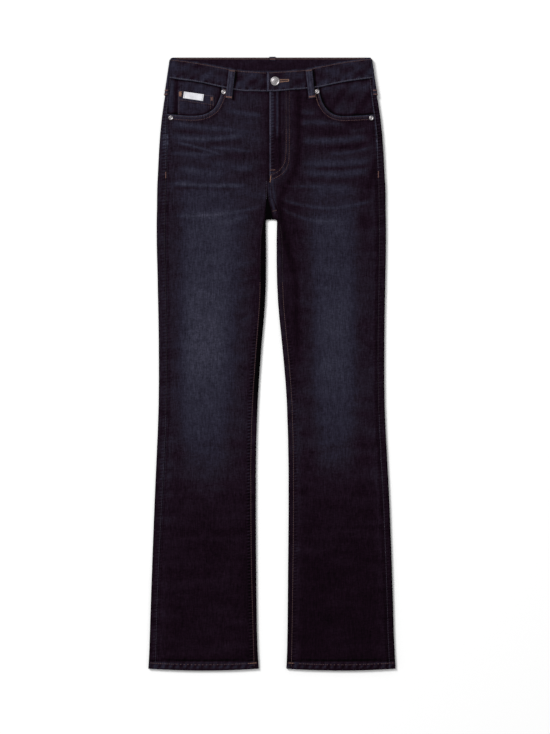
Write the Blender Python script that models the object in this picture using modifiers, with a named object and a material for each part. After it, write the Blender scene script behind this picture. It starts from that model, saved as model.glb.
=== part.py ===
"""Bootcut jeans, laid flat on their back and smoothed out.

Each piece that is cut and sewn is one solid with a real cloth wall. Sizes in the tables are millimetres.
x runs to the wearer's left, down runs from the top of the waistband to the hems, z is up from the surface
that the jeans lie on. Right and left are the wearer's, so the right leg is at -X.
"""

import math

import bmesh
import bpy
import numpy as np
from mathutils import Vector

MM = 0.001
MID_DOWN = 551.026  # the down value that lies at y = 0

WALL = 1.2  # one ply of denim with its seam allowances pressed flat
HEM_WALL = 2.3  # the hem is turned up twice
HEM_DEPTH = 12.0
PATCH_WALL = 1.0  # back pockets, coin pocket and pocket facings
BAND_WALL = 2.6  # the waistband is folded double
LOOP_WALL = 1.2
LABEL_WALL = 0.6
GAP = 0.3  # between neighbouring pieces
SEAM = 0.4  # between the edges of two panels along a seam

BAND_HEIGHT = 8.5  # both layers of the waistband, flattened
HEM_DOWN = 1099.8
HEM_BOW = 3.6  # the hems bow down in the middle of each leg
FLY_EDGE = -4.2  # the left front ends here, over the right front
FLY_UNDER = 9.0  # the right front runs on to here under the left front
FLY_END = 214.0
FLY_RISE = 0.8
FLY_DROP = 0.7
BAND_RISE = 1.4
BAND_DROP = 1.5
BAND_END = -8.0
BAND_UNDER_END = 28.0
CROTCH_DOWN = 291.8  # the fold between the legs
CROTCH_POINT = 251.0  # where the four leg seams meet on top
BACK_SEAM = -0.9
NOTCH_RADIUS = 3.5
VALLEY_DEPTH = 2.9
YOKE_SIDE = 76.0
YOKE_CENTRE = 101.0
INLAY = PATCH_WALL + GAP  # depth of a recess in the underside

# down, right outer edge, right outseam inwards of it, left outer edge, left outseam inwards of it, height
HIPS = (
    (0.0, 182.2, 6.2, 178.4, 8.6, 8.3),
    (36.9, 187.7, 7.1, 183.7, 9.3, 8.05),
    (65.7, 192.0, 7.9, 188.4, 10.6, 7.9),
    (94.5, 196.3, 8.9, 193.1, 11.5, 7.75),
    (123.3, 199.7, 10.8, 196.8, 11.3, 7.6),
    (152.1, 202.2, 13.6, 199.4, 11.6, 7.4),
    (180.9, 203.9, 15.1, 201.3, 12.8, 7.2),
    (209.7, 205.3, 16.2, 202.8, 13.2, 7.0),
    (238.5, 206.6, 16.9, 204.4, 13.7, 6.8),
    (267.3, 206.9, 16.6, 204.6, 13.6, 6.55),
)

# the same columns, then the inner edge and the inseam of the right leg and of the left leg
LEGS = (
    (296.1, 207.5, 16.3, 205.1, 13.5, 6.3, -10.9, -15.4, 9.1, 13.0),
    (312.0, 207.5, 16.2, 205.2, 13.5, 6.2, -10.9, -17.6, 8.7, 15.2),
    (350.0, 207.1, 16.1, 205.1, 13.4, 6.0, -10.6, -19.8, 8.4, 17.4),
    (386.0, 206.1, 16.0, 204.5, 13.3, 5.9, -10.7, -20.3, 8.8, 17.9),
    (422.0, 205.4, 15.9, 203.8, 13.2, 5.8, -11.5, -20.7, 10.0, 18.9),
    (458.0, 204.6, 15.8, 203.1, 13.1, 5.75, -13.6, -22.5, 12.4, 21.1),
    (494.0, 204.0, 15.7, 202.6, 13.0, 5.7, -16.6, -25.3, 15.9, 24.4),
    (530.0, 203.7, 15.6, 202.4, 13.0, 5.65, -19.6, -28.1, 19.5, 27.9),
    (566.0, 203.6, 15.6, 202.3, 13.0, 5.6, -22.2, -30.6, 22.8, 31.1),
    (602.0, 203.8, 15.5, 202.6, 12.9, 5.6, -24.5, -32.9, 25.6, 33.8),
    (650.0, 204.8, 15.5, 203.9, 12.8, 5.6, -26.7, -35.1, 27.7, 35.9),
    (710.0, 207.3, 15.4, 206.8, 12.7, 5.6, -28.4, -36.6, 29.3, 37.4),
    (782.0, 210.5, 15.0, 210.6, 12.6, 5.6, -28.9, -36.9, 29.8, 37.8),
    (854.0, 213.4, 14.2, 213.6, 12.5, 5.6, -28.8, -36.6, 29.6, 37.6),
    (926.0, 216.1, 13.5, 216.2, 12.4, 5.6, -28.3, -35.6, 28.9, 36.8),
    (998.0, 218.6, 13.3, 218.4, 12.4, 5.6, -27.4, -33.8, 28.3, 35.8),
    (1046.0, 220.1, 13.6, 219.9, 12.4, 5.6, -26.5, -32.5, 27.7, 35.0),
    (1080.0, 221.4, 13.8, 221.5, 12.4, 5.55, -25.0, -31.5, 26.8, 34.3),
    (1099.8, 222.6, 14.0, 222.6, 12.4, 5.5, -23.6, -30.9, 25.8, 33.7),
)

# x, top edge of the front waistband, seam under it
BAND = (
    (-186.0, 2.6, 37.4),
    (-160.0, 5.8, 41.0),
    (-132.6, 9.9, 45.0),
    (-108.0, 14.2, 50.2),
    (-84.5, 19.0, 55.3),
    (-63.8, 22.4, 59.4),
    (-30.0, 25.2, 61.2),
    (-8.7, 26.3, 61.6),
    (14.0, 25.3, 60.9),
    (37.9, 23.7, 58.7),
    (62.0, 21.4, 56.7),
    (81.8, 17.2, 54.5),
    (101.0, 13.2, 50.6),
    (120.5, 9.6, 46.4),
    (150.0, 5.2, 41.6),
    (184.0, 1.2, 37.2),
)
BAND_BACK_SEAM = 37.3

# x, down along the edge of each front pocket opening, from the waistband to the outseam
OPENING_RIGHT = (
    (-90.2, 50.0),
    (-91.4, 65.7),
    (-95.5, 77.5),
    (-102.3, 90.4),
    (-112.0, 98.6),
    (-125.7, 104.2),
    (-146.4, 105.7),
    (-176.7, 103.5),
    (-191.0, 101.8),
)
OPENING_LEFT = (
    (84.2, 49.0),
    (86.0, 65.7),
    (91.0, 82.0),
    (100.0, 95.2),
    (112.2, 103.4),
    (127.4, 106.2),
    (150.0, 105.6),
    (172.7, 104.2),
    (188.0, 102.6),
)

# x, down of the right back pocket's corners
BACK_POCKET = ((-164.0, 97.0), (-27.0, 112.0), (-31.0, 226.0), (-93.0, 251.0), (-158.0, 220.0))

# x and down at the top and at the lower end of each front belt loop
FRONT_LOOPS = {
    "loop_front_right": (-71.4, 22.6, -77.6, 75.0),
    "loop_front_left": (66.2, 22.2, 72.2, 74.2),
}
LOOP_WIDTH = 11.6

COIN_LEFT = -169.0
COIN_RIGHT = -104.0
COIN_TOP = 59.4
COIN_SLANT = 0.149
COIN_BOTTOM = 122.0
LABEL_CORNERS = ((-158.1, 61.9), (-122.3, 66.9), (-124.1, 78.8), (-159.7, 73.6))

BUTTON_AT = (5.7, 43.7)
BUTTON_RADIUS = 8.3
RIVETS = {
    "rivet_inner_right": (-86.9, 62.8),
    "rivet_outer_right": (-181.7, 109.2),
    "rivet_inner_left": (81.5, 62.2),
    "rivet_outer_left": (178.7, 109.6),
}
RIVET_RADIUS = 4.2


# ---------------------------------------------------------------- the form


def smooth(t):
    t = min(max(t, 0.0), 1.0)
    return t * t * (3.0 - 2.0 * t)


def bump(t):
    return math.exp(-t * t)


def curve_through(table, column):
    """A smooth function of the table's first column, through the values of another column."""
    at = np.array([row[0] for row in table])
    values = np.array([row[column] for row in table])
    slopes = np.gradient(values, at)

    def value(where):
        if where <= at[0]:
            return float(values[0] + slopes[0] * (where - at[0]))
        if where >= at[-1]:
            return float(values[-1] + slopes[-1] * (where - at[-1]))
        i = int(np.searchsorted(at, where, side="right")) - 1
        step = at[i + 1] - at[i]
        t = (where - at[i]) / step
        left = values[i] + t * step * slopes[i]
        right = values[i + 1] + (t - 1.0) * step * slopes[i + 1]
        blend = t * t * (3.0 - 2.0 * t)
        return float(left * (1.0 - blend) + right * blend)

    return value


BODY = tuple(row[:6] for row in HIPS + LEGS)
height_at = curve_through(BODY, 5)
band_top = curve_through(BAND, 1)
band_seam = curve_through(BAND, 2)
OUTER = {-1: curve_through(BODY, 1), 1: curve_through(BODY, 3)}
OUTSEAM_IN = {-1: curve_through(BODY, 2), 1: curve_through(BODY, 4)}
INNER = {-1: curve_through(LEGS, 6), 1: curve_through(LEGS, 8)}
INSEAM_LEG = {-1: curve_through(LEGS, 7), 1: curve_through(LEGS, 9)}

# down, x of the right and of the left inseam on their way up to the crotch point
INSEAM_TOP = (
    (251.0, -5.0, -3.6),
    (256.0, -7.2, 2.4),
    (262.0, -9.2, 5.6),
    (270.0, -11.0, 8.4),
    (280.0, -12.9, 10.8),
    (296.1, -15.4, 13.0),
    (312.0, -17.6, 15.2),
)
INSEAM_UP = {-1: curve_through(INSEAM_TOP, 1), 1: curve_through(INSEAM_TOP, 2)}


def outseam_x(side, down):
    return side * (OUTER[side](down) - OUTSEAM_IN[side](down))


def inseam_x(side, down):
    return INSEAM_UP[side](down) if down < 304.0 else INSEAM_LEG[side](down)


def top(x, down):
    """Height of the upper surface over the one that the jeans lie on."""
    z = height_at(down)
    beside_fly = smooth((down - 64.0) / 18.0) * (1.0 - smooth((down - 200.0) / 40.0))
    z += beside_fly * (0.45 * bump((x - 40.0) / 6.0) - 0.55 * bump((x - 49.5) / 5.5))
    reach = min(max((down - 238.0) / 54.0, 0.0), 1.0)
    depth = VALLEY_DEPTH * smooth((down - 238.0) / 34.0) * (1.0 - smooth((down - 296.0) / 50.0))
    z -= depth * bump((x + 4.4 - 3.5 * reach) / (3.5 + 6.0 * reach))
    return z


def fly_rise(x, down):
    """The left front rides over the right one, as far as the curved stitching of the fly."""
    return FLY_RISE * (1.0 - smooth((x - 13.0) / 26.0)) * (1.0 - smooth((down - FLY_END) / 14.0))


def fly_drop(x, down):
    return FLY_DROP * smooth((x + 13.0) / 7.5) * (1.0 - smooth((down - FLY_END + 1.0) / 12.0))


def hem_bow(side, x, down):
    """The hem's bow, which dies out above it."""
    inner = INNER[side](max(down, 1000.0))
    outer = side * OUTER[side](down)
    t = min(max((x - inner) / (outer - inner), 0.0), 1.0)
    return HEM_BOW * 4.0 * t * (1.0 - t) * smooth((down - 1010.0) / 85.0)


def wall_at(down):
    return WALL + (HEM_WALL - WALL) * smooth((down - HEM_DOWN + HEM_DEPTH + 1.0) / 2.0)


def world(x, down, z):
    return Vector((x * MM, (MID_DOWN - down) * MM, z * MM))


# ---------------------------------------------------------------- making solids


def clear_scene():
    for obj in list(bpy.data.objects):
        bpy.data.objects.remove(obj, do_unlink=True)
    for group in list(bpy.data.collections):
        bpy.data.collections.remove(group)


def make_collection(name):
    group = bpy.data.collections.new(name)
    bpy.context.scene.collection.children.link(group)
    return group


def make_material(name, colour, roughness, metallic):
    material = bpy.data.materials.new(name)
    material.use_nodes = True
    shader = material.node_tree.nodes["Principled BSDF"]
    shader.inputs["Base Color"].default_value = (*colour, 1.0)
    shader.inputs["Roughness"].default_value = roughness
    shader.inputs["Metallic"].default_value = metallic
    return material


clear_scene()
JEANS = make_collection("bootcut_jeans")
CUTTERS = make_collection("cutters")
DENIM = make_material("denim", (0.016, 0.014, 0.025), 0.9, 0.0)
DENIM_WORN = make_material("denim_worn", (0.032, 0.033, 0.050), 0.9, 0.0)
LABEL_CLOTH = make_material("label_cloth", (0.62, 0.62, 0.64), 0.8, 0.0)
NICKEL = make_material("nickel", (0.30, 0.29, 0.30), 0.4, 1.0)


def finish(bm, name, material, collection=JEANS):
    bmesh.ops.recalc_face_normals(bm, faces=bm.faces[:])
    if bm.calc_volume(signed=True) < 0.0:
        bmesh.ops.reverse_faces(bm, faces=bm.faces[:])
    mesh = bpy.data.meshes.new(name)
    bm.to_mesh(mesh)
    bm.free()
    obj = bpy.data.objects.new(name, mesh)
    if material:
        mesh.materials.append(material)
    collection.objects.link(obj)
    return obj


def slab(name, columns, rows, place, material, keep=None):
    """A cloth piece: a grid made into a thin slab, then laid on the form.

    place(column, row, inside) gives a point of the outer face, or of the inner face where inside is 1.
    """
    bm = bmesh.new()
    bmesh.ops.create_grid(bm, x_segments=columns, y_segments=rows, size=0.5)
    for vert in bm.verts:
        vert.co = Vector(((vert.co.x + 0.5) * columns, (vert.co.y + 0.5) * rows, 0.0))
    if keep:
        gone = [face for face in bm.faces if not keep(*face.calc_center_median()[:2])]
        bmesh.ops.delete(bm, geom=gone, context="FACES")
    made = bmesh.ops.extrude_face_region(bm, geom=bm.faces[:], use_keep_orig=True)
    for item in made["geom"]:
        if isinstance(item, bmesh.types.BMVert):
            item.co.z = 1.0
    for vert in bm.verts:
        vert.co = place(round(vert.co.x), round(vert.co.y), round(vert.co.z))
    obj = finish(bm, name, material)
    obj.data.shade_smooth()
    obj.data.set_sharp_from_angle(angle=math.radians(50.0))
    return obj


def prism(name, outline, low, high, material=None, collection=JEANS):
    """A flat outline of (x, down) corners, from height low to height high."""
    bm = bmesh.new()
    corners = [bm.verts.new(world(x, down, low)) for x, down in outline]
    bmesh.ops.contextual_create(bm, geom=corners)
    made = bmesh.ops.extrude_face_region(bm, geom=bm.faces[:], use_keep_orig=True)
    lifted = [item for item in made["geom"] if isinstance(item, bmesh.types.BMVert)]
    bmesh.ops.translate(bm, verts=lifted, vec=Vector((0.0, 0.0, (high - low) * MM)))
    return finish(bm, name, material, collection)


def cutter(name, outline, low, high):
    obj = prism(name, outline, low, high, None, CUTTERS)
    obj.hide_render = True
    obj.display_type = "WIRE"
    return obj


def cut(obj, tool):
    modifier = obj.modifiers.new("cut " + tool.name, "BOOLEAN")
    modifier.operation = "DIFFERENCE"
    modifier.solver = "EXACT"
    modifier.object = tool


def grown(outline, by):
    """The outline moved out by a distance, for a recess around a piece."""
    points = [Vector(point) for point in outline]
    area = sum(a.x * b.y - b.x * a.y for a, b in zip(points, points[1:] + points[:1]))
    turn = 1.0 if area > 0.0 else -1.0
    moved = []
    for before, point, after in zip(points[-1:] + points[:-1], points, points[1:] + points[:1]):
        first = (point - before).normalized()
        second = (after - point).normalized()
        out_first = Vector((first.y, -first.x)) * turn
        out_second = Vector((second.y, -second.x)) * turn
        corner = (out_first + out_second).normalized()
        moved.append(tuple(point + corner * (by / corner.dot(out_first))))
    return moved


def flipped(outline):
    return tuple((-x, down) for x, down in outline)


def turned(name, profile, centre, material):
    """A round piece from a profile of (radius, z), running down its outer side."""
    bm = bmesh.new()
    points = [bm.verts.new(Vector((radius * MM, 0.0, z * MM))) for radius, z in profile]
    for a, b in zip(points, points[1:]):
        bm.edges.new((a, b))
    mesh = bpy.data.meshes.new(name)
    bm.to_mesh(mesh)
    bm.free()
    mesh.materials.append(material)
    obj = bpy.data.objects.new(name, mesh)
    obj.location = world(*centre)
    JEANS.objects.link(obj)
    screw = obj.modifiers.new("turn", "SCREW")
    screw.steps = 20
    screw.render_steps = 20
    screw.use_merge_vertices = True
    screw.merge_threshold = 0.00001
    screw.use_smooth_shade = True
    return obj


# ---------------------------------------------------------------- back panels and yokes

ROLL = 4  # segments round each folded side
ROLL_ANGLES = [math.radians(90.0 - 180.0 * i / ROLL) for i in range(ROLL + 1)]
# shares of the way across the lower layer, from the outer fold to the inner one
ACROSS = (0.0, 0.06, 0.12, 0.32, 0.58, 0.84, 0.92, 1.0)

# down at the outer fold, down at the centre back seam
SEAT_ROWS = (
    (YOKE_SIDE + SEAM, YOKE_CENTRE + SEAM),
    (90.0, 106.5),
    (123.0, 134.0),
    (152.0, 160.0),
    (181.0, 188.0),
    (210.0, 215.0),
    (238.5, 242.0),
    (258.0, 262.0),
)
# down at the outer fold, share of the way round the notch (-1 at the centre seam), down at the inseam
NOTCH_ROWS = (
    (270.0, -1.0, 251.0),
    (277.0, -0.5, 256.0),
    (283.0, 0.0, 262.0),
    (289.0, 0.33, 270.0),
    (296.0, 0.67, 280.0),
    (303.0, 1.0, 296.1),
)
LEG_ROWS = (312.0, 330.0, 350.0, 386.0, 422.0, 458.0, 494.0, 530.0, 566.0, 602.0, 650.0, 710.0) + (
    782.0,
    854.0,
    926.0,
    998.0,
    1046.0,
    1076.0,
    1086.5,
    1089.0,
    HEM_DOWN,
)


def back_seam_x(side, down):
    """The centre seam: straight under the seat, then up the valley to the crotch point."""
    return BACK_SEAM + side * SEAM / 2.0


def folded(edge, down_shift, toward, radius, angle, wall):
    """A point of a folded side: edge is (x, down) of the fold, toward the unit vector out of it."""
    reach = radius - (radius - wall) * math.cos(angle)
    x = edge[0] - toward[0] * reach
    down = edge[1] - toward[1] * reach + down_shift
    return world(x, down, radius + (radius - wall) * math.sin(angle))


def notch_fold(side, share):
    """(x, down) of the fold between the legs and the unit vector into the notch."""
    corner = INNER[side](296.1)
    centre = (corner - side * NOTCH_RADIUS, CROTCH_DOWN + NOTCH_RADIUS)
    if share <= 0.0:
        start = back_seam_x(side, CROTCH_DOWN)
        return (start + (centre[0] - start) * (1.0 + share), CROTCH_DOWN), (0.0, 1.0)
    angle = share * math.pi / 2.0
    toward = (-side * math.sin(angle), math.cos(angle))
    return (centre[0] - toward[0] * NOTCH_RADIUS, centre[1] - toward[1] * NOTCH_RADIUS), toward


def fold_radius(edge, toward):
    radius = 3.0
    for _ in range(6):
        radius = top(edge[0] - toward[0] * radius, edge[1] - toward[1] * radius) / 2.0
    return radius


def seam_end(side, down):
    """Where the inner rim of a back panel ends on top: the inseam, or the centre seam at its upper end."""
    if down <= CROTCH_POINT:
        return (-4.4 + side * SEAM / 2.0, CROTCH_POINT + 0.6)
    return (inseam_x(side, down) - side * SEAM / 2.0, down)


def back_panel(name, side):
    rows = []
    for outer_down, centre_down in SEAT_ROWS:
        rows.append((outer_down, (back_seam_x(side, centre_down), centre_down), None, None, None))
    for outer_down, share, seam_down in NOTCH_ROWS:
        edge, toward = notch_fold(side, share)
        rows.append((outer_down, None, edge, toward, seam_end(side, seam_down)))
    for down in LEG_ROWS:
        edge = (INNER[side](down), down)
        rows.append((down, None, edge, (-side * 1.0, 0.0), seam_end(side, down)))
    first_fold = len(SEAT_ROWS)
    bottom_start = 1 + ROLL
    bottom_end = bottom_start + len(ACROSS) - 1
    last = bottom_end + ROLL + 2

    def place(column, row, inside):
        outer_down, centre, edge, toward, seam = rows[row]
        wall = wall_at(outer_down) * inside
        out = (side * 1.0, 0.0)
        outer_edge = (side * OUTER[side](outer_down), outer_down)
        radius = fold_radius(outer_edge, out)
        if column < bottom_start:
            if column == 0:
                x = outseam_x(side, outer_down) + side * SEAM / 2.0
                down = outer_down + hem_bow(side, x, outer_down)
                return world(x, down, top(x, outer_down) - wall)
            shift = hem_bow(side, outer_edge[0] - side * radius, outer_down)
            return folded(outer_edge, shift, out, radius, ROLL_ANGLES[column - 1], wall)
        start = (outer_edge[0] - side * radius, outer_down)
        if centre:
            end = centre
        else:
            inner_radius = fold_radius(edge, toward)
            end = (edge[0] - toward[0] * inner_radius, edge[1] - toward[1] * inner_radius)
        if column <= bottom_end:
            share = ACROSS[column - bottom_start]
            x = start[0] + (end[0] - start[0]) * share
            down = start[1] + (end[1] - start[1]) * share
            raised = INLAY * inside * (1 <= row < first_fold and 2 <= column - bottom_start <= 6)
            return world(x, down + hem_bow(side, x, outer_down), wall + raised)
        if centre:
            return world(end[0], end[1], wall)
        shift = hem_bow(side, end[0], outer_down)
        if column <= bottom_end + ROLL:
            angle = ROLL_ANGLES[ROLL - (column - bottom_end)]
            return folded(edge, shift, toward, inner_radius, angle, wall)
        share = (column - bottom_end - ROLL) / 2.0
        x = end[0] + (seam[0] - end[0]) * share
        down = end[1] + (seam[1] - end[1]) * share
        down_bowed = down + (hem_bow(side, x, outer_down) if outer_down > 1000.0 else 0.0)
        return world(x, down_bowed, top(x, down) - wall)

    def keep(column, row):
        return column < bottom_end or row > first_fold

    return slab(name, last, len(rows) - 1, place, DENIM, keep)


def yoke(name, side):
    shares = (0.0, 0.35, 0.7, 1.0)
    bottom_start = 1 + ROLL
    last = bottom_start + len(ACROSS) - 1

    def place(column, row, inside):
        side_top = max(band_seam(side * 185.0), BAND_BACK_SEAM) + SEAM
        outer_down = side_top + (YOKE_SIDE - side_top) * shares[row]
        centre_top = BAND_BACK_SEAM + SEAM
        centre_down = centre_top + (YOKE_CENTRE - centre_top) * shares[row]
        wall = WALL * inside
        outer_edge = (side * OUTER[side](outer_down), outer_down)
        radius = fold_radius(outer_edge, (side, 0.0))
        if column == 0:
            x = outseam_x(side, outer_down) + side * SEAM / 2.0
            down = max(outer_down, band_seam(x) + SEAM)
            return world(x, down, top(x, down) - wall)
        if column < bottom_start:
            return folded(outer_edge, 0.0, (side, 0.0), radius, ROLL_ANGLES[column - 1], wall)
        share = ACROSS[column - bottom_start]
        start = outer_edge[0] - side * radius
        end = back_seam_x(side, centre_down)
        raised = INLAY * inside * (column - bottom_start >= 6 and row <= 1)
        x = start + (end - start) * share
        return world(x, outer_down + (centre_down - outer_down) * share, wall + raised)

    return slab(name, last, len(shares) - 1, place, DENIM)


# ---------------------------------------------------------------- front panels

# down at the outseam, down at the fly or the inseam
FRONT_ROWS = (
    (None, None),
    (58.0, 78.0),
    (76.0, 95.0),
    (90.0, 108.0),
    (101.0, 116.0),
    (123.0, 134.0),
    (152.0, 158.0),
    (181.0, 181.0),
    (198.0, 196.0),
    (210.0, 205.0),
    (224.0, 214.0),
    (238.5, 222.0),
    (258.0, 238.0),
    (270.0, 251.0),
) + tuple((outer, seam) for outer, share, seam in NOTCH_ROWS[1:]) + tuple((d, d) for d in LEG_ROWS)


def front_edge(side, down):
    """x of a front panel's edge at the fly, the centre seam or the inseam."""
    if down <= CROTCH_POINT:
        if side > 0:
            return FLY_EDGE
        under = FLY_UNDER - FLY_EDGE + SEAM
        return FLY_EDGE - SEAM + under * (1.0 - smooth((down - FLY_END + 12.0) / 11.0))
    return inseam_x(side, down) + side * SEAM / 2.0


def front_panel(name, side):
    if side < 0:
        hip_stops = (-172.0, -140.0, -108.0, -84.0, -62.0, -45.0, -30.0, -13.0)
        tail = (0.24, 0.36, 0.7, 1.0)
    else:
        hip_stops = (168.0, 140.0, 108.0, 84.0, 62.0, 57.0, 52.0, 48.0, 43.0, 38.0, 34.0, 28.0, 22.0, 8.0)
        tail = (1.0,)
    columns = len(hip_stops) + len(tail)
    hip_edge = -13.0 if side < 0 else FLY_EDGE

    def place(column, row, inside):
        outer_down, inner_down = FRONT_ROWS[row]
        if outer_down is None:
            outer_down = band_seam(side * 184.0) + SEAM
            inner_down = band_seam(0.0) + SEAM
        left = outseam_x(side, outer_down) - side * SEAM / 2.0
        right = front_edge(side, inner_down)
        into_leg = smooth((outer_down - 240.0) / 80.0)
        if column == 0:
            x = left
        elif column <= len(hip_stops):
            stop = hip_stops[column - 1]
            straight = stop + (left - side * 188.0) * (stop / (side * 188.0)) ** 6
            spread = left + (right - left) * column / columns
            x = straight + (spread - straight) * into_leg
        else:
            start = hip_edge + (left + (right - left) * len(hip_stops) / columns - hip_edge) * into_leg
            x = start + (right - start) * tail[column - len(hip_stops) - 1]
        share = (x - left) / (right - left)
        down = outer_down + (inner_down - outer_down) * share
        if row == 0:
            down = band_seam(x) + SEAM
        elif down < 120.0:
            down = max(down, band_seam(x) + SEAM + 4.0 * row)
        z = top(x, down)
        z += fly_rise(x, down) if side > 0 else -fly_drop(x, down)
        wall = wall_at(outer_down) * inside
        return world(x, down + hem_bow(side, x, outer_down), z - wall)

    return slab(name, columns, len(FRONT_ROWS) - 1, place, DENIM)


def rounded(points, steps):
    """A smooth curve through the points, with that many short lines between each two."""
    points = [Vector(point) for point in points]
    ends = [2 * points[0] - points[1]] + points + [2 * points[-1] - points[-2]]
    curve = []
    for a, b, c, d in zip(ends, ends[1:], ends[2:], ends[3:]):
        for step in range(steps):
            t = step / steps
            line = 2 * b + (c - a) * t + (2 * a - 5 * b + 4 * c - d) * t**2
            curve.append(tuple(0.5 * (line + (3 * b - a - 3 * c + d) * t**3)))
    return curve + [tuple(points[-1])]


def opening_cutter(name, edge):
    side = 1.0 if edge[0][0] > 0 else -1.0
    out = [(side * 225.0, edge[-1][1]), (side * 225.0, 20.0), (edge[0][0], 20.0)]
    return cutter(name, rounded(edge, 3) + out, 2.0, 15.0)


def pocket_facing(name, side, under):
    """The facing behind a pocket opening, which rises to the outseam at the side."""
    shares = (0.0, 0.3, 0.55, 0.78, 1.0)
    inner_x = side * 82.0 if side < 0 else 77.0
    columns = (0.0, 0.06, 0.13, 0.22, 0.4, 0.6, 0.8, 1.0)

    def place(column, row, inside):
        left = outseam_x(side, 60.0) - side * SEAM
        x = left + (inner_x - left) * columns[column]
        low = 124.0 - 22.0 * smooth((abs(inner_x) + 26.0 - abs(x)) / 26.0)
        high = band_seam(x) + SEAM
        down = high + (low - high) * shares[row]
        if column == 0:
            x = outseam_x(side, down) - side * SEAM / 2.0
        to_side = (1.0 - smooth(abs(x - left) / 14.0)) * (1.0 - smooth((down - 86.0) / 8.0))
        z = top(x, down) - under * (1.0 - to_side)
        return world(x, down, z - PATCH_WALL * inside)

    return slab(name, len(columns) - 1, len(shares) - 1, place, DENIM)


def coin_pocket(name):
    def place(column, row, inside):
        x = COIN_LEFT + (COIN_RIGHT - COIN_LEFT) * column / 6.0
        high = COIN_TOP + (x - COIN_LEFT) * COIN_SLANT
        down = high + (COIN_BOTTOM - high) * row / 4.0
        return world(x, down, top(x, down) - WALL - GAP - PATCH_WALL * inside)

    return slab(name, 6, 4, place, DENIM)


def label(name):
    first, second, third, fourth = [Vector(corner) for corner in LABEL_CORNERS]

    def place(column, row, inside):
        upper = first.lerp(second, column / 3.0)
        lower = fourth.lerp(third, column / 3.0)
        spot = upper.lerp(lower, row / 1.0)
        z = top(spot.x, spot.y) - WALL + LABEL_WALL
        return world(spot.x, spot.y, z - LABEL_WALL * inside)

    return slab(name, 3, 1, place, LABEL_CLOTH)


# ---------------------------------------------------------------- waistband and belt loops

FRONT_STOPS = (160.0, 132.0, 108.0, 84.0, 62.0)
RIGHT_STOPS = tuple(-x for x in FRONT_STOPS[::-1]) + (-45.0, -30.0, -22.0, -15.0, -9.5, 5.0, 17.0)
LEFT_STOPS = FRONT_STOPS + (52.0, 43.0, 34.0, 22.0, 8.0)
BACK_STOPS = (-150.0, -100.0, -50.0, -16.0, 16.0, 50.0, 100.0, 150.0)


def band_rise(x):
    return BAND_RISE * (1.0 - smooth((x - 31.0) / 26.0))


def band_drop(x):
    return BAND_DROP * smooth((x + 28.0) / 18.0)


def waistband(name):
    """One strip: from its end under the buttonhole round the right side, the back and the left side."""
    radius = BAND_HEIGHT / 2.0
    stations = [("under", BAND_UNDER_END)]
    stations += [("under", x) for x in RIGHT_STOPS[::-1]]
    # (kind, position): the front's two halves and the back are flat, the sides are folds
    right = sorted([x for kind, x in stations], reverse=True)
    stations = [("under", x) for x in right]
    stations += [("fold_right", angle) for angle in ROLL_ANGLES]
    stations += [("back", x) for x in BACK_STOPS]
    stations += [("fold_left", angle) for angle in ROLL_ANGLES[::-1]]
    stations += [("over", x) for x in LEFT_STOPS]
    stations += [("over", BAND_END)]
    shares = (0.0, 0.12, 0.88, 1.0)

    def place(column, row, inside):
        kind, at = stations[column]
        share = shares[row]
        depth = BAND_WALL * inside
        if kind in ("under", "over"):
            down = band_top(at) + (band_seam(at) - band_top(at)) * share
            lift = -band_drop(at) if kind == "under" else band_rise(at)
            return world(at, down, BAND_HEIGHT + lift - depth)
        if kind == "back":
            return world(at, BAND_BACK_SEAM * share, depth)
        side = -1 if kind == "fold_right" else 1
        turn = (at + math.pi / 2.0) / math.pi
        high = band_top(side * 182.0) * smooth(turn)
        low = BAND_BACK_SEAM + (band_seam(side * 185.0) - BAND_BACK_SEAM) * smooth(turn)
        down = high + (low - high) * share
        edge = (side * OUTER[side](down), down)
        return folded(edge, 0.0, (side, 0.0), radius, at, depth)

    return slab(name, len(stations) - 1, len(shares) - 1, place, DENIM)


def front_loop(name, ends):
    x_top, down_top, x_low, down_low = ends
    along = Vector((x_low - x_top, down_low - down_top)).normalized()
    across = Vector((along.y, -along.x))
    shares = (0.0, 0.07, 0.3, 0.5, 0.66, 0.72, 0.8, 0.9, 1.0)

    def place(column, row, inside):
        share = shares[row]
        spot = Vector((x_top, down_top)).lerp(Vector((x_low, down_low)), share)
        spot = spot + across * LOOP_WIDTH * (column / 2.0 - 0.5)
        onto_front = smooth((spot.y - band_seam(spot.x) - 1.0) / 5.0)
        z = BAND_HEIGHT + (top(spot.x, spot.y) - BAND_HEIGHT) * onto_front
        z += 0.9 * math.sin(math.pi * min(share / 0.8, 1.0)) + GAP
        return world(spot.x, spot.y, z + LOOP_WALL * (1 - inside))

    return slab(name, 2, len(shares) - 1, place, DENIM_WORN)


def side_loop(name, side):
    """A belt loop that lies round the folded side."""
    downs = (4.0, 12.0, 24.0, 36.0, 46.0, 58.0, 69.0)
    angles = [math.radians(62.0 - 25.0 * i) for i in range(5)]

    def place(column, row, inside):
        down = downs[row]
        radius = BAND_HEIGHT / 2.0
        outside = radius + GAP + LOOP_WALL * (1 - inside)
        angle = angles[column]
        x = side * (OUTER[side](down) - radius + outside * math.cos(angle))
        return world(x, down, radius + outside * math.sin(angle))

    return slab(name, len(angles) - 1, len(downs) - 1, place, DENIM_WORN)


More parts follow.
